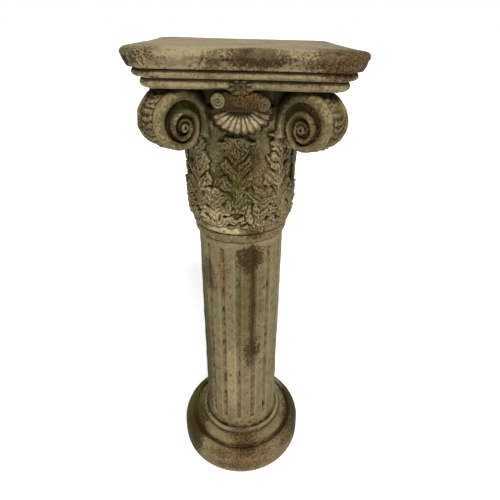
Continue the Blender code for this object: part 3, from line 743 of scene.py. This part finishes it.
def garland(run, depth, seed):
    """Height of the scaly leaves along the middle of a scroll's edge."""
    place = as_points(run, depth * 0.02, np.zeros_like(run))
    drift = worn(place, 0.013, seed) * 0.35 + worn(place, 0.006, seed + 1) * 0.22
    step = (run / 0.0092 + 1.20 * np.abs(depth) + drift) % 1.0
    blade = np.sin(step * math.pi) ** 0.7 * (1.0 - 0.55 * step)
    stem = np.exp(-(depth / 0.07) ** 2)
    ribs = 0.5 + 0.5 * np.cos(depth * 46.0 + 4.0 * step)
    crumpled = worn(as_points(run, depth * 0.027, run * 0.0), 0.0034, seed + 2)
    return 0.0040 * blade + 0.0012 * stem * (1.0 - step) + 0.0007 * ribs + 0.0011 * crumpled


def around_eye(radius, angle, y):
    """Points of a scroll at distances and angles around its eye."""
    return as_points(SCROLL_EYE_OUT + radius * np.cos(angle), y, SCROLL_EYE_Z + radius * np.sin(angle))


def scroll_skins():
    """One corner scroll in its own frame: out along X, the two spiral faces at -Y and +Y."""
    s = sizes()
    half = s.scroll_thickness / 2
    turns = np.linspace(SCROLL_START, SCROLL_END, 300)
    outer = scroll_outline(turns)
    width = scroll_band_width(turns)
    section = scroll_section()
    across, depth, leaf = section[:, 0], section[:, 1], section[:, 2]
    radius = outer[:, None] - across[None, :] * width[:, None]
    angle = math.pi / 2 - turns * math.tau
    sink = 1.0 - 0.16 * smooth_step(0.85, 2.2, turns)
    y = depth[None, :] * half * sink[:, None]
    run = np.concatenate([[0.0], np.cumsum(outer[1:] * np.diff(turns) * math.tau)])
    run = np.broadcast_to(run[:, None], y.shape)
    flat_depth = np.broadcast_to(depth[None, :], y.shape)
    radius = radius + garland(run, flat_depth, 85) * leaf[None, :]
    rows = around_eye(radius, angle[:, None], y)
    wear = wear_of("scroll", rows) * s.wear
    rows[..., 0] += wear * np.cos(angle)[:, None]
    rows[..., 1] += wear * np.sign(y)
    rows[..., 2] += wear * np.sin(angle)[:, None]
    return joined([skin(rows), scroll_plate(half * 0.58), scroll_eye(half * 0.86)])


def scroll_plate(half):
    """The floor of the channel between the turns of the band."""
    turns = np.linspace(SCROLL_START, 0.80, 72)
    radius = scroll_outline(turns) - scroll_band_width(turns) * 0.5
    angle = math.pi / 2 - turns * math.tau
    outline = around_eye(radius, angle, np.zeros_like(angle))
    middle = np.array([SCROLL_EYE_OUT, 0.0, SCROLL_EYE_Z])
    shares = (0.3, 0.6, 0.8, 1.0)
    levels = [(share, half) for share in shares] + [(share, -half) for share in reversed(shares)]
    return skin(np.stack([middle + (outline - middle) * share + np.array([0.0, y, 0.0])
                          for share, y in levels]))


def scroll_eye(half):
    """The round knob in the middle of each spiral face."""
    levels = [(0.0068, -1.02), (0.0066, -1.06), (0.0054, -1.11), (0.0030, -1.14)]
    levels = np.array(levels + [(radius, -depth) for radius, depth in reversed(levels)])
    turned, radius = np.meshgrid(full_circle(28), levels[:, 0])
    depth = np.broadcast_to(levels[:, 1:], turned.shape)
    return skin(around_eye(radius, turned, depth * half))


def rosette_skin():
    """An oval flower with eight cupped petals around a seeded heart."""
    turned = full_circle(112)
    angle, reach = np.meshgrid(turned, np.linspace(1.0, 0.02, 30))
    petal = np.abs(np.sin(angle * 4.0))
    edge = 0.90 + 0.10 * petal
    dome = np.sqrt(unit(1.0 - reach ** 2))
    cup = 0.0036 * np.sin(unit((reach - 0.36) / 0.64) * math.pi) * petal
    crease = 0.0010 * np.exp(-((reach - 0.40) / 0.05) ** 2)
    seeds = 0.0008 * (np.cos(angle * 7.0) * np.cos(reach * 26.0)) * (reach < 0.36)
    out = ROSETTE_PROUD * dome + cup - crease + seeds
    x = reach * edge * ROSETTE_HALF_WIDTH * np.cos(angle)
    z = reach * edge * ROSETTE_HALF_HEIGHT * np.sin(angle)
    y = -(SLAB_HALF_WIDTH - 0.0330) - out
    rows = as_points(x + ROSETTE_SIDE, y, z + SLAB_FOOT_Z + 0.0050)
    back = rows[0].copy()
    back[:, 1] += 0.012
    return skin(np.concatenate([back[None], rows]))


def bolster_skins():
    """A reeded bolster with a small scroll at each end of its front."""
    along = np.linspace(-BOLSTER_HALF_LENGTH, BOLSTER_HALF_LENGTH, 150)
    turned = full_circle(56)
    x, angle = np.meshgrid(along, turned, indexing="ij")
    waver = 0.5 * np.sin(angle * 3.0 + x * 90.0) + 0.4 * np.sin(angle * 7.0 - x * 210.0)
    reed = np.abs(np.sin(x / 0.0043 * math.pi + waver)) ** 0.6
    body = BOLSTER_RADIUS * np.sqrt(np.clip(1.0 - (np.abs(x) / 0.0345) ** 6, 0.02, 1.0))
    radius = body + 0.0021 * reed * unit(1.4 - np.abs(x) / 0.030)
    centre_z = SLAB_FOOT_Z - 0.0155 - x * 0.02
    rows = as_points(x, -BOLSTER_OUT - radius * np.cos(angle) * 0.95, centre_z + radius * np.sin(angle))
    ends = [small_scroll(side * 0.0310, -0.1375, SLAB_FOOT_Z - 0.0150 - side * 0.0020, size, side)
            for side, size in ((-1, 0.0098), (1, 0.0090))]
    return joined([skin(rows)] + ends)


def small_scroll(x_at, y_at, z_at, size, hand):
    """A round knob with a raised spiral on its front."""
    turned = full_circle(72)
    share = np.concatenate([[1.0, 1.0], np.linspace(0.99, 0.02, 26)])
    angle, reach = np.meshgrid(turned, share)
    phase = reach * 2.2 + hand * angle / math.tau
    ridge = 0.5 + 0.5 * np.cos(phase * math.tau)
    dome = 0.0045 * np.sqrt(unit(1.0 - reach ** 4))
    out = dome + 0.0018 * ridge * unit((1.0 - reach) * 8.0)
    out[0] = -0.020
    return skin(as_points(x_at + size * reach * np.cos(angle), y_at - out,
                          z_at + size * reach * np.sin(angle)))


def shell_skin():
    """A fan of rounded ribs under the bolster, with a scalloped edge."""
    share = np.concatenate([[0.10], np.linspace(0.12, 1.0, 26), [1.0]])
    turn, reach = np.meshgrid(np.linspace(0.0, 1.0, 14 * SHELL_RIBS + 1), share)
    rib = np.abs(np.sin(turn * SHELL_RIBS * math.pi))
    angle = math.pi * (0.02 + 0.96 * turn)
    edge = 0.90 + 0.10 * rib ** 0.6
    round_end = np.sqrt(unit(1.0 - unit((reach - 0.72) / 0.28) ** 2))
    out = 0.0060 + 0.0090 * round_end * (0.62 + 0.38 * rib ** 0.4) - 0.0060 * (1.0 - reach)
    out[0] = out[-1] = -0.050
    x = -SHELL_HALF_WIDTH * reach * edge * np.cos(angle)
    z = SLAB_FOOT_Z - 0.0220 - SHELL_HEIGHT * reach * edge * np.sin(angle)
    y = -0.1130 - out - 0.0045 * np.sin(angle)
    return skin(as_points(x, y, z), around=False)


def ball(centre, size):
    """A ball with its own size in each direction."""
    angle, up = np.meshgrid(full_circle(28), np.linspace(-0.49 * math.pi, 0.49 * math.pi, 14))
    return skin(as_points(centre[0] + size[0] * np.cos(up) * np.cos(angle),
                          centre[1] + size[1] * np.cos(up) * np.sin(angle),
                          centre[2] + size[2] * np.sin(up)))


def drop_skins():
    """Hanging drops of beads beside each scroll, all round the bell."""
    parts = []
    for face in range(FACES):
        for side in (-1, 1):
            at = face * math.tau / FACES + BELL_TURN + side * BEAD_TURN
            for z, size in BEADS:
                radius = float(bell_radius(z, at)) + 0.0018
                lean = at + side * 0.6 * (BEADS[0][0] - z)
                centre = (radius * math.sin(lean), -radius * math.cos(lean), z)
                parts.append(ball(centre, (size, size, size * 0.85)))
    return joined(parts)


# Amounts that each material sets
AMOUNTS = ("Dirt", "Wash", "Edge wear", "Moss amount", "Rust amount")


def add_group(name, inputs, outputs):
    """A shader node group: its graph, what it is given by name and its end."""
    group = bpy.data.node_groups.new(name, "ShaderNodeTree")
    for way, sockets in (("INPUT", inputs), ("OUTPUT", outputs)):
        for kind, labels in sockets.items():
            for label in labels:
                group.interface.new_socket(label, in_out=way, socket_type=f"NodeSocket{kind}")
    start, end = group.nodes.new("NodeGroupInput"), group.nodes.new("NodeGroupOutput")
    return Graph(group), start.outputs, end


class Graph:
    """Short ways to add and join nodes in one node tree."""

    def __init__(self, tree):
        self.tree = tree

    def node(self, kind, **inputs):
        node = self.tree.nodes.new(kind)
        for name, value in inputs.items():
            self.feed(node, name, value)
        return node

    def feed(self, node, name, value):
        if isinstance(name, str):
            name = name.replace("_", " ")
        socket = node.inputs[name]
        if isinstance(value, bpy.types.NodeSocket):
            self.tree.links.new(value, socket)
        else:
            socket.default_value = value

    def math(self, operation, *values, clamp=False):
        node = self.tree.nodes.new("ShaderNodeMath")
        node.operation = operation
        node.use_clamp = clamp
        for i, value in enumerate(values):
            self.feed(node, i, value)
        return node.outputs[0]

    def vector(self, operation, *values):
        node = self.tree.nodes.new("ShaderNodeVectorMath")
        node.operation = operation
        for i, value in enumerate(values):
            self.feed(node, i, value)
        return node.outputs["Value" if operation == "LENGTH" else "Vector"]

    def times(self, first, second, clamp=False):
        return self.math("MULTIPLY", first, second, clamp=clamp)

    def plus(self, first, second):
        return self.math("ADD", first, second)

    def most(self, first, second):
        return self.math("MAXIMUM", first, second)

    def centred(self, value, gain):
        """A value from zero to one moved to lie around zero."""
        return self.times(self.math("SUBTRACT", value, 0.5), gain)

    def noise(self, place, scale, detail=2.0, roughness=0.55):
        node = self.node("ShaderNodeTexNoise", Vector=place, Scale=scale, Detail=detail,
                         Roughness=roughness)
        return node.outputs[0]

    def ramp(self, value, low, high):
        node = self.tree.nodes.new("ShaderNodeMapRange")
        node.interpolation_type = "SMOOTHSTEP"
        self.feed(node, 0, value)
        self.feed(node, 1, low)
        self.feed(node, 2, high)
        return node.outputs[0]

    def mix(self, share, first, second):
        node = self.tree.nodes.new("ShaderNodeMix")
        node.data_type = "RGBA"
        self.feed(node, 0, share)
        self.feed(node, 6, first)
        self.feed(node, 7, second)
        return node.outputs[2]


def stain_group():
    """A stain at one place, with a ragged speckled edge."""
    g, given, end = add_group("located_stain", {"Vector": ("Place", "Centre", "Reach"),
                                                "Float": ("Raggedness", "Strength")}, {"Float": ("Mask",)})
    away = g.vector("SUBTRACT", given["Place"], given["Centre"])
    distance = g.vector("LENGTH", g.vector("DIVIDE", away, given["Reach"]))
    ragged = g.plus(g.centred(g.noise(given["Place"], 38.0, 4.0, 0.65), 2.2),
                    g.centred(g.noise(given["Place"], 330.0, 2.0, 0.6), 3.2))
    mask = g.ramp(g.math("MULTIPLY_ADD", ragged, given["Raggedness"], distance), 1.10, 0.70)
    g.feed(end, "Mask", g.times(mask, given["Strength"], clamp=True))


def stone_group():
    """Colour, roughness and height of bare weathered stone, before any local stains."""
    g, given, end = add_group(
        "weathered_stone",
        {"Vector": ("Place",), "Color": ("Stone", "Pale", "Patina", "Moss", "Rust"),
         "Float": ("Fine hollow", "Wide hollow", "Near shelter", "Far shelter") + AMOUNTS},
        {"Color": ("Colour", "Patina tone", "Rust tone", "Moss tone", "Pale tone"),
         "Float": ("Roughness", "Height", "Rubbed")})
    place, stone, pale = given["Place"], given["Stone"], given["Pale"]
    patina, moss, rust = given["Patina"], given["Moss"], given["Rust"]
    broad = g.noise(place, 9.0, 4.0, 0.6)
    middle = g.noise(place, 42.0, 4.0, 0.62)
    fine = g.noise(place, 210.0, 3.0, 0.65)
    grain = g.noise(place, 400.0, 2.0, 0.7)

    # Bare stone, paler on its ridges, which are worn and also carry a painted highlight, with specks and a
    # thin dark wash
    tone = g.plus(g.centred(middle, 0.9), g.centred(broad, 0.9))
    darker = g.vector("MULTIPLY", stone, (0.62, 0.60, 0.55))
    colour = g.mix(g.ramp(tone, 0.22, -0.22), stone, darker)
    crest = g.ramp(g.plus(given["Fine hollow"], g.centred(fine, 0.40)), 0.49, 0.34)
    worn_and_highlit = g.times(g.times(crest, g.ramp(middle, 0.26, 0.56)), given["Edge wear"])
    worn_and_highlit = g.most(worn_and_highlit, g.times(g.ramp(g.plus(middle, g.times(fine, 0.5)), 0.82, 1.10), 0.28))
    colour = g.mix(worn_and_highlit, colour, pale)
    speckle = g.plus(g.plus(g.centred(grain, 1.5), g.centred(fine, 0.7)), 1.0)
    colour = g.vector("MULTIPLY", colour, speckle)
    washed = g.ramp(g.plus(g.plus(broad, middle), g.times(fine, 0.8)), 0.95, 1.50)
    colour = g.mix(g.times(washed, given["Wash"]), colour, g.mix(0.30, patina, moss))
    mossy = g.ramp(g.plus(broad, g.times(fine, 0.35)), 0.50, 0.85)
    colour = g.mix(g.times(mossy, given["Moss amount"]), colour, moss)
    rust_noise = g.noise(g.vector("ADD", place, (3.1, 1.7, 5.3)), 24.0, 4.0, 0.66)
    rusty = g.ramp(g.plus(rust_noise, g.times(grain, 0.3)), 0.62, 0.92)
    colour = g.mix(g.times(rusty, given["Rust amount"]), colour, rust)

    # Patina in the hollows, painted shade in sheltered places, and dark specks
    hollow = g.plus(g.times(g.ramp(given["Fine hollow"], 0.51, 0.72), 0.95),
                    g.times(g.ramp(given["Wide hollow"], 0.53, 0.88), 0.60))
    drift = g.centred(middle, 0.28)
    near = g.ramp(g.plus(given["Near shelter"], drift), 0.14, 0.52)
    far = g.ramp(g.plus(given["Far shelter"], drift), 0.15, 0.72)
    shade = g.most(g.times(near, 0.92), g.times(far, 0.85))
    gate = g.ramp(g.plus(middle, g.times(grain, 0.45)), 0.98, 0.46)
    settled = g.times(hollow, g.math("MULTIPLY_ADD", gate, 0.75, 0.35))
    specks = g.ramp(g.plus(grain, g.centred(middle, 0.7)), 0.60, 0.72)
    darkened = g.most(g.most(settled, shade), g.times(specks, 0.62))
    patina_and_shade = g.times(darkened, given["Dirt"], clamp=True)
    colour = g.mix(patina_and_shade, colour, patina)

    # Pits, in patches
    pits = []
    for cells, rim, heart, patches, low, high in ((170.0, 0.30, 0.12, 60.0, 0.50, 0.66),
                                                  (430.0, 0.34, 0.16, 75.0, 0.46, 0.60)):
        away = g.node("ShaderNodeTexVoronoi", Vector=place, Scale=cells).outputs["Distance"]
        pits.append(g.times(g.ramp(away, rim, heart), g.ramp(g.noise(place, patches), low, high)))
    pit = g.most(*pits)
    g.feed(end, "Colour", g.mix(g.times(pit, 0.80), colour, patina))
    g.feed(end, "Rubbed", worn_and_highlit)
    g.feed(end, "Roughness", g.math("MULTIPLY_ADD", g.plus(fine, patina_and_shade), 0.22, 0.52))
    height = g.plus(g.plus(g.times(fine, 0.45), g.times(grain, 0.22)), g.times(middle, 0.35))
    g.feed(end, "Height", g.math("SUBTRACT", height, g.times(pit, 0.9)))

    # Colours of the local stains, mottled
    mottle = g.ramp(g.plus(g.times(fine, 0.5), g.times(grain, 0.5)), 0.44, 0.56)
    half_rust = g.mix(0.22, patina, rust)
    g.feed(end, "Pale tone", g.mix(patina_and_shade, g.mix(mottle, pale, stone), patina))
    g.feed(end, "Patina tone", g.mix(mottle, patina, half_rust))
    g.feed(end, "Rust tone", g.mix(mottle, half_rust, g.mix(0.35, rust, stone)))
    g.feed(end, "Moss tone", g.mix(mottle, moss, g.mix(0.5, moss, patina)))


# Stains seen on the plinth: colour, centre and reach in millimetres, raggedness, strength
MM = 0.001
SLAB_STAINS = (
    ("pale", (6, 0, 901), (200, 200, 5), 0.06, 0.28),
    ("patina", (136, -158, 884), (60, 34, 28), 0.50, 1.0),
    ("patina", (144, -160, 872), (44, 30, 14), 0.60, 0.90),
    ("patina", (60, -148, 858), (70, 26, 8), 0.70, 0.40),
    ("patina", (-20, -148, 872), (60, 26, 6), 0.70, 0.45),
    ("patina", (18, -160, 890), (44, 20, 20), 0.50, 0.95),
    ("patina", (-166, -166, 884), (52, 60, 40), 0.60, 1.0),
    ("patina", (176, -166, 884), (62, 66, 40), 0.60, 1.0),
    ("rust", (138, -150, 880), (56, 40, 30), 0.75, 0.50),
    ("patina", (-35, -160, 884), (20, 16, 14), 0.85, 0.7),
    ("patina", (166, 160, 884), (55, 60, 40), 0.60, 1.0),
    ("patina", (-162, 160, 884), (60, 55, 40), 0.60, 1.0),
    ("patina", (-162, 20, 886), (20, 50, 22), 0.70, 0.9),
    ("patina", (168, 30, 888), (20, 60, 22), 0.70, 0.9),
    ("patina", (40, 162, 886), (60, 20, 24), 0.70, 0.9),
)
SHAFT_STAINS = (
    # The two stains at the sides of the base are its dark patina and also painted shade on the sides
    # turned from the light
    ("patina", (-130, 0, 40), (66, 130, 60), 0.45, 1.0),
    ("patina", (135, 10, 40), (45, 110, 60), 0.50, 0.95),
    ("patina", (0, -128, 52), (90, 14, 16), 0.60, 0.90),
    ("patina", (0, -138, 26), (70, 30, 18), 0.80, 0.90),
    ("moss", (-75, -20, 300), (18, 50, 260), 0.30, 0.75),
    ("moss", (16, -85, 450), (30, 40, 150), 0.50, 0.60),
    ("patina", (-80, -28, 260), (16, 50, 200), 0.60, 0.55),
    ("patina", (4, -98, 79), (46, 20, 12), 0.60, 0.75),
    ("pale", (-20, -82, 240), (19, 20, 110), 0.25, 0.25),
    ("patina", (18, -79, 552), (26, 30, 34), 0.45, 0.95),
    ("patina", (21, -80, 440), (6.5, 30, 160), 0.35, 0.80),
    ("patina", (22, -80, 320), (20, 30, 36), 0.60, 0.90),
    ("patina", (-62, -52, 500), (14, 30, 40), 0.60, 0.75),
    ("rust", (-34, -74, 520), (12, 30, 45), 0.50, 0.65),
    # The moss and patina at the base's left side also paint the shade on that side
    ("moss", (-130, -30, 45), (50, 110, 70), 0.40, 0.85),
    ("patina", (-110, -60, 48), (34, 60, 40), 0.55, 0.85),
    ("rust", (40, -125, 50), (110, 60, 45), 0.70, 0.65),
    ("patina", (10, -112, 56), (30, 30, 22), 0.50, 0.80),
    ("patina", (100, -60, 48), (30, 50, 30), 0.60, 0.75),
    ("patina", (62, 50, 480), (30, 30, 80), 0.55, 0.85),
    ("patina", (-40, 72, 360), (26, 30, 60), 0.55, 0.85),
    ("rust", (78, -10, 260), (20, 30, 100), 0.60, 0.55),
)
BELL_STAINS = (
    ("patina", (-4, -98, 700), (28, 40, 50), 0.60, 0.75),
    ("pale", (-45, -80, 640), (34, 40, 18), 0.45, 0.60),
    ("pale", (-28, -88, 612), (30, 30, 9), 0.35, 0.70),
    ("moss", (0, -95, 700), (50, 50, 60), 0.50, 0.60),
    ("patina", (8, -100, 742), (26, 40, 28), 0.45, 0.85),
    ("rust", (40, -85, 706), (20, 30, 26), 0.60, 0.70),
    ("patina", (-30, -85, 712), (18, 30, 20), 0.60, 0.65),
    ("rust", (50, -70, 605), (52, 50, 20), 0.55, 0.60),
    ("patina", (24, -86, 607), (22, 30, 12), 0.60, 0.80),
    ("patina", (-80, -40, 700), (25, 40, 60), 0.55, 0.60),
    ("moss", (80, -40, 720), (30, 40, 60), 0.55, 0.50),
)
CARVING_STAINS = (
    ("pale", (0, -130, 803), (60, 50, 22), 0.25, 0.95),
    ("patina", (32, -143, 831), (12, 20, 12), 0.60, 0.55),
    ("patina", (-32, -146, 832), (9, 20, 9), 0.50, 0.40),
    ("patina", (-1, -158, 853), (34, 30, 18), 0.35, 0.75),
    ("rust", (8, -137, 836), (22, 20, 12), 0.50, 0.75),
    ("patina", (6, -137, 832), (25, 20, 10), 0.60, 0.60),
)
SCROLL_STAINS = (
    *(("patina", (x, y, 795), (34, 34, 60), 0.45, 0.90) for y in (-146, 146) for x in (-150, 156)),
    ("patina", (-96, -104, 789), (26, 34, 26), 0.45, 0.90),
    ("patina", (104, -104, 791), (26, 34, 27), 0.45, 0.90),
    ("patina", (-106, -92, 790), (20, 30, 22), 0.50, 0.60),
    ("rust", (110, -95, 800), (45, 45, 45), 0.55, 0.70),
    ("moss", (80, -100, 815), (22, 30, 18), 0.45, 0.70),
    ("moss", (-80, -100, 815), (22, 30, 18), 0.45, 0.70),
    ("patina", (-140, -90, 805), (18, 40, 40), 0.60, 0.75),
    ("rust", (-125, -110, 775), (20, 30, 20), 0.60, 0.55),
)


# Stains, amounts and strength of the grain of each stone
STONES = {
    "shaft": (SHAFT_STAINS, (0.88, 0.34, 0.25, 0.20, 0.14), 0.60),
    "bell": (BELL_STAINS, (1.0, 0.42, 1.0, 0.45, 0.40), 0.85),
    "slab": (SLAB_STAINS, (0.80, 0.25, 0.50, 0.12, 0.20), 0.60),
    "scroll": (SCROLL_STAINS, (1.0, 0.50, 0.85, 0.30, 0.40), 0.65),
    "carving": (CARVING_STAINS, (1.0, 0.35, 0.85, 0.25, 0.30), 0.65),
}


def stone_material(kind):
    """Weathered stone of one kind, with its own stains."""
    stains, amounts, grain_strength = STONES[kind]
    finish = bpy.context.scene.plinth_finish
    material = bpy.data.materials.new(f"{kind}_stone")
    material.use_nodes = True
    tree = material.node_tree
    g = Graph(tree)
    shader = tree.nodes["Principled BSDF"]
    place = g.node("ShaderNodeNewGeometry").outputs["Position"]
    stone = tree.nodes.new("ShaderNodeGroup")
    stone.node_tree = bpy.data.node_groups["weathered_stone"]
    g.feed(stone, "Place", place)
    for label in ("fine_hollow", "wide_hollow", "near_shelter", "far_shelter"):
        attribute = g.node("ShaderNodeAttribute")
        attribute.attribute_name = label
        g.feed(stone, label.capitalize(), attribute.outputs["Fac"])
    for label in ("stone", "pale", "patina", "moss", "rust"):
        g.feed(stone, label.capitalize(), tuple(getattr(finish, label)))
    for label, amount in zip(AMOUNTS, amounts):
        g.feed(stone, label, amount)
    colour = stone.outputs["Colour"]
    # Stains are thinner on the ridges, where wear and the painted highlight pale the stone
    kept = g.math("MULTIPLY_ADD", stone.outputs["Rubbed"], -STAIN_OFF_HIGHLIT_RIDGES, 1.0)
    for tone, centre, reach, raggedness, strength in stains:
        stain = tree.nodes.new("ShaderNodeGroup")
        stain.node_tree = bpy.data.node_groups["located_stain"]
        for label, value in (("Place", place), ("Centre", [part * MM for part in centre]),
                             ("Reach", [part * MM for part in reach]), ("Raggedness", raggedness),
                             ("Strength", strength)):
            g.feed(stain, label, value)
        mask = stain.outputs["Mask"]
        if tone != "pale":
            mask = g.times(mask, kept)
        colour = g.mix(mask, colour, stone.outputs[f"{tone.capitalize()} tone"])
    g.feed(shader, "Base Color", colour)
    g.feed(shader, "Roughness", stone.outputs["Roughness"])
    shader.inputs["Specular IOR Level"].default_value = STONE_GLOSS
    relief = g.node("ShaderNodeBump", Height=stone.outputs["Height"], Strength=grain_strength,
                    Distance=GRAIN_DISTANCE)
    g.feed(shader, "Normal", relief.outputs["Normal"])
    return material


class PLINTH_OT_base_and_shaft(bpy.types.Operator):
    """Build the round base and the grooved shaft"""

    bl_idname = "plinth.base_and_shaft"
    bl_label = "Base and shaft"

    def execute(self, context):
        material = stone_material("shaft")
        stone_piece("base_and_shaft", shaft_skin(), material)
        return {"FINISHED"}


class PLINTH_OT_bell(bpy.types.Operator):
    """Build the neck rings, the leaf-carved bell and its hanging beads"""

    bl_idname = "plinth.bell"
    bl_label = "Bell and beads"

    def execute(self, context):
        material = stone_material("bell")
        stone_piece("neck_rings", neck_skin(), material)
        stone_piece("carved_bell", bell_skin(), material)
        stone_piece("bead_drops", drop_skins(), material)
        return {"FINISHED"}


class PLINTH_OT_slab(bpy.types.Operator):
    """Build the moulded square slab"""

    bl_idname = "plinth.slab"
    bl_label = "Slab"

    def execute(self, context):
        material = stone_material("slab")
        stone_piece("slab", slab_skin(), material, capital_lean(SLAB_SHIFT))
        return {"FINISHED"}


class PLINTH_OT_corner_scrolls(bpy.types.Operator):
    """Build the four corner scrolls"""

    bl_idname = "plinth.corner_scrolls"
    bl_label = "Corner scrolls"

    def execute(self, context):
        material = stone_material("scroll")
        lean = capital_lean(SCROLL_SHIFT)
        turn = math.pi / FACES
        first = stone_piece("corner_scroll_0", scroll_skins(), material, lean @ face_turn(0, turn))
        for corner in range(1, FACES):
            placed(f"corner_scroll_{corner}", first.data, lean @ face_turn(corner, turn))
        return {"FINISHED"}


class PLINTH_OT_face_carvings(bpy.types.Operator):
    """Build the rosette, bolster and shell of each face"""

    bl_idname = "plinth.face_carvings"
    bl_label = "Face carvings"

    def execute(self, context):
        material = stone_material("carving")
        shift = capital_lean(SLAB_SHIFT)
        rosette = stone_piece("rosette_0", rosette_skin(), material, shift)
        bolster = stone_piece("bolster_0", bolster_skins(), material)
        shell = stone_piece("shell_0", shell_skin(), material)
        for face in range(1, FACES):
            placed(f"rosette_{face}", rosette.data, shift @ face_turn(face))
            placed(f"bolster_{face}", bolster.data, face_turn(face))
            placed(f"shell_{face}", shell.data, face_turn(face))
        return {"FINISHED"}


def camera_matrix():
    """Where the photo was taken from, and which way the camera looked."""
    swing, dip, roll = CAMERA_SWING, CAMERA_DIP, CAMERA_ROLL
    forward = Vector((math.sin(swing) * math.cos(dip), math.cos(swing) * math.cos(dip), -math.sin(dip)))
    level = Vector((math.cos(swing), -math.sin(swing), 0.0))
    down = forward.cross(level)
    right = level * math.cos(roll) - down * math.sin(roll)
    drop = level * math.sin(roll) + down * math.cos(roll)
    matrix = Matrix((right, -drop, -forward)).transposed().to_4x4()
    matrix.translation = Vector((0.0, -CAMERA_AWAY * HEIGHT, CAMERA_UP * HEIGHT))
    return matrix


def aimed(place, target):
    """Matrix of a light at a place, shining at a target."""
    place, target = Vector(place), Vector(target)
    matrix = (place - target).to_track_quat("Z", "Y").to_matrix().to_4x4()
    matrix.translation = place
    return matrix


def main_light(settings):
    """A large soft light, high in front and a little to the right."""
    light = bpy.data.lights.new("main_light", "SUN")
    light.angle = settings.key_size
    light.energy = settings.key_power
    obj = bpy.data.objects.new("main_light", light)
    bpy.context.scene.collection.objects.link(obj)
    obj.matrix_world = aimed(LIGHT_PLACE, LIGHT_TARGET)


def even_light(settings):
    """Even light all round, brighter behind the plinth so that the backdrop looks white."""
    world = bpy.data.worlds.new("even_light")
    world.use_nodes = True
    g = Graph(world.node_tree)
    ways = g.node("ShaderNodeTexCoord").outputs["Generated"]
    behind = g.ramp(g.node("ShaderNodeSeparateXYZ", Vector=ways).outputs["Y"], 0.25, 0.80)
    background = world.node_tree.nodes["Background"]
    background.inputs["Color"].default_value = (1.0, 1.0, 1.0, 1.0)
    lit = g.math("MULTIPLY_ADD", behind, settings.backdrop - settings.sky, settings.sky)
    seen = g.node("ShaderNodeLightPath").outputs["Is Camera Ray"]
    g.feed(background, "Strength", g.most(lit, g.times(seen, settings.backdrop)))
    return world


class PLINTH_OT_stage(bpy.types.Operator):
    """Set up the floor, the soft light and the camera"""

    bl_idname = "plinth.stage"
    bl_label = "Stage"

    def execute(self, context):
        settings = context.scene.plinth_stage
        mesh = bpy.data.meshes.new("floor")
        corners = ((-1, -1), (1, -1), (1, 1), (-1, 1))
        mesh.from_pydata([(x * FLOOR_REACH, y * FLOOR_REACH, 0) for x, y in corners], [], [(0, 1, 2, 3)])
        material = bpy.data.materials.new("floor_paper")
        material.use_nodes = True
        shader = material.node_tree.nodes["Principled BSDF"]
        shader.inputs["Base Color"].default_value = settings.floor
        shader.inputs["Roughness"].default_value = 0.9
        shader.inputs["Emission Color"].default_value = settings.floor
        g = Graph(material.node_tree)
        seen = g.node("ShaderNodeLightPath").outputs["Is Camera Ray"]
        g.feed(shader, "Emission Strength", g.times(seen, settings.floor_glow))
        mesh.materials.append(material)
        floor = bpy.data.objects.new("floor", mesh)
        context.scene.collection.objects.link(floor)
        context.scene.world = even_light(settings)
        context.scene.view_settings.view_transform = "Standard"
        main_light(settings)
        camera_data = bpy.data.cameras.new("photo_camera")
        camera_data.sensor_width = CAMERA_SENSOR
        camera_data.lens = CAMERA_LENS
        camera = bpy.data.objects.new("photo_camera", camera_data)
        context.scene.collection.objects.link(camera)
        camera.matrix_world = camera_matrix()
        context.scene.camera = camera
        return {"FINISHED"}


class PLINTH_PT_panel(bpy.types.Panel):
    """Lists the pieces of the plinth"""

    bl_label = "Column plinth"
    bl_idname = "PLINTH_PT_panel"
    bl_space_type = "VIEW_3D"
    bl_region_type = "UI"
    bl_category = "Plinth"

    def draw(self, context):
        layout = self.layout
        for group in (context.scene.plinth_sizes, context.scene.plinth_finish, context.scene.plinth_stage):
            box = layout.box()
            for name in group.__annotations__:
                box.prop(group, name)
        for operator in BUILD_ORDER:
            layout.operator(operator.bl_idname)


BUILD_ORDER = (PLINTH_OT_base_and_shaft, PLINTH_OT_bell, PLINTH_OT_slab, PLINTH_OT_corner_scrolls,
               PLINTH_OT_face_carvings, PLINTH_OT_stage)
SETTINGS = {"plinth_sizes": StoneSizes, "plinth_finish": StoneFinish, "plinth_stage": StageSettings}


def register():
    for settings in SETTINGS.values():
        bpy.utils.register_class(settings)
    for name, settings in SETTINGS.items():
        setattr(bpy.types.Scene, name, PointerProperty(type=settings))
    for item in BUILD_ORDER:
        bpy.utils.register_class(item)
    bpy.utils.register_class(PLINTH_PT_panel)


def unregister():
    bpy.utils.unregister_class(PLINTH_PT_panel)
    for item in reversed(BUILD_ORDER):
        bpy.utils.unregister_class(item)
    for name in SETTINGS:
        delattr(bpy.types.Scene, name)
    for settings in reversed(SETTINGS.values()):
        bpy.utils.unregister_class(settings)


def main():
    register()
    stain_group()
    stone_group()
    bpy.ops.plinth.base_and_shaft()
    bpy.ops.plinth.bell()
    bpy.ops.plinth.slab()
    bpy.ops.plinth.corner_scrolls()
    bpy.ops.plinth.face_carvings()
    bpy.ops.plinth.stage()


if __name__ == "__main__":
    main()
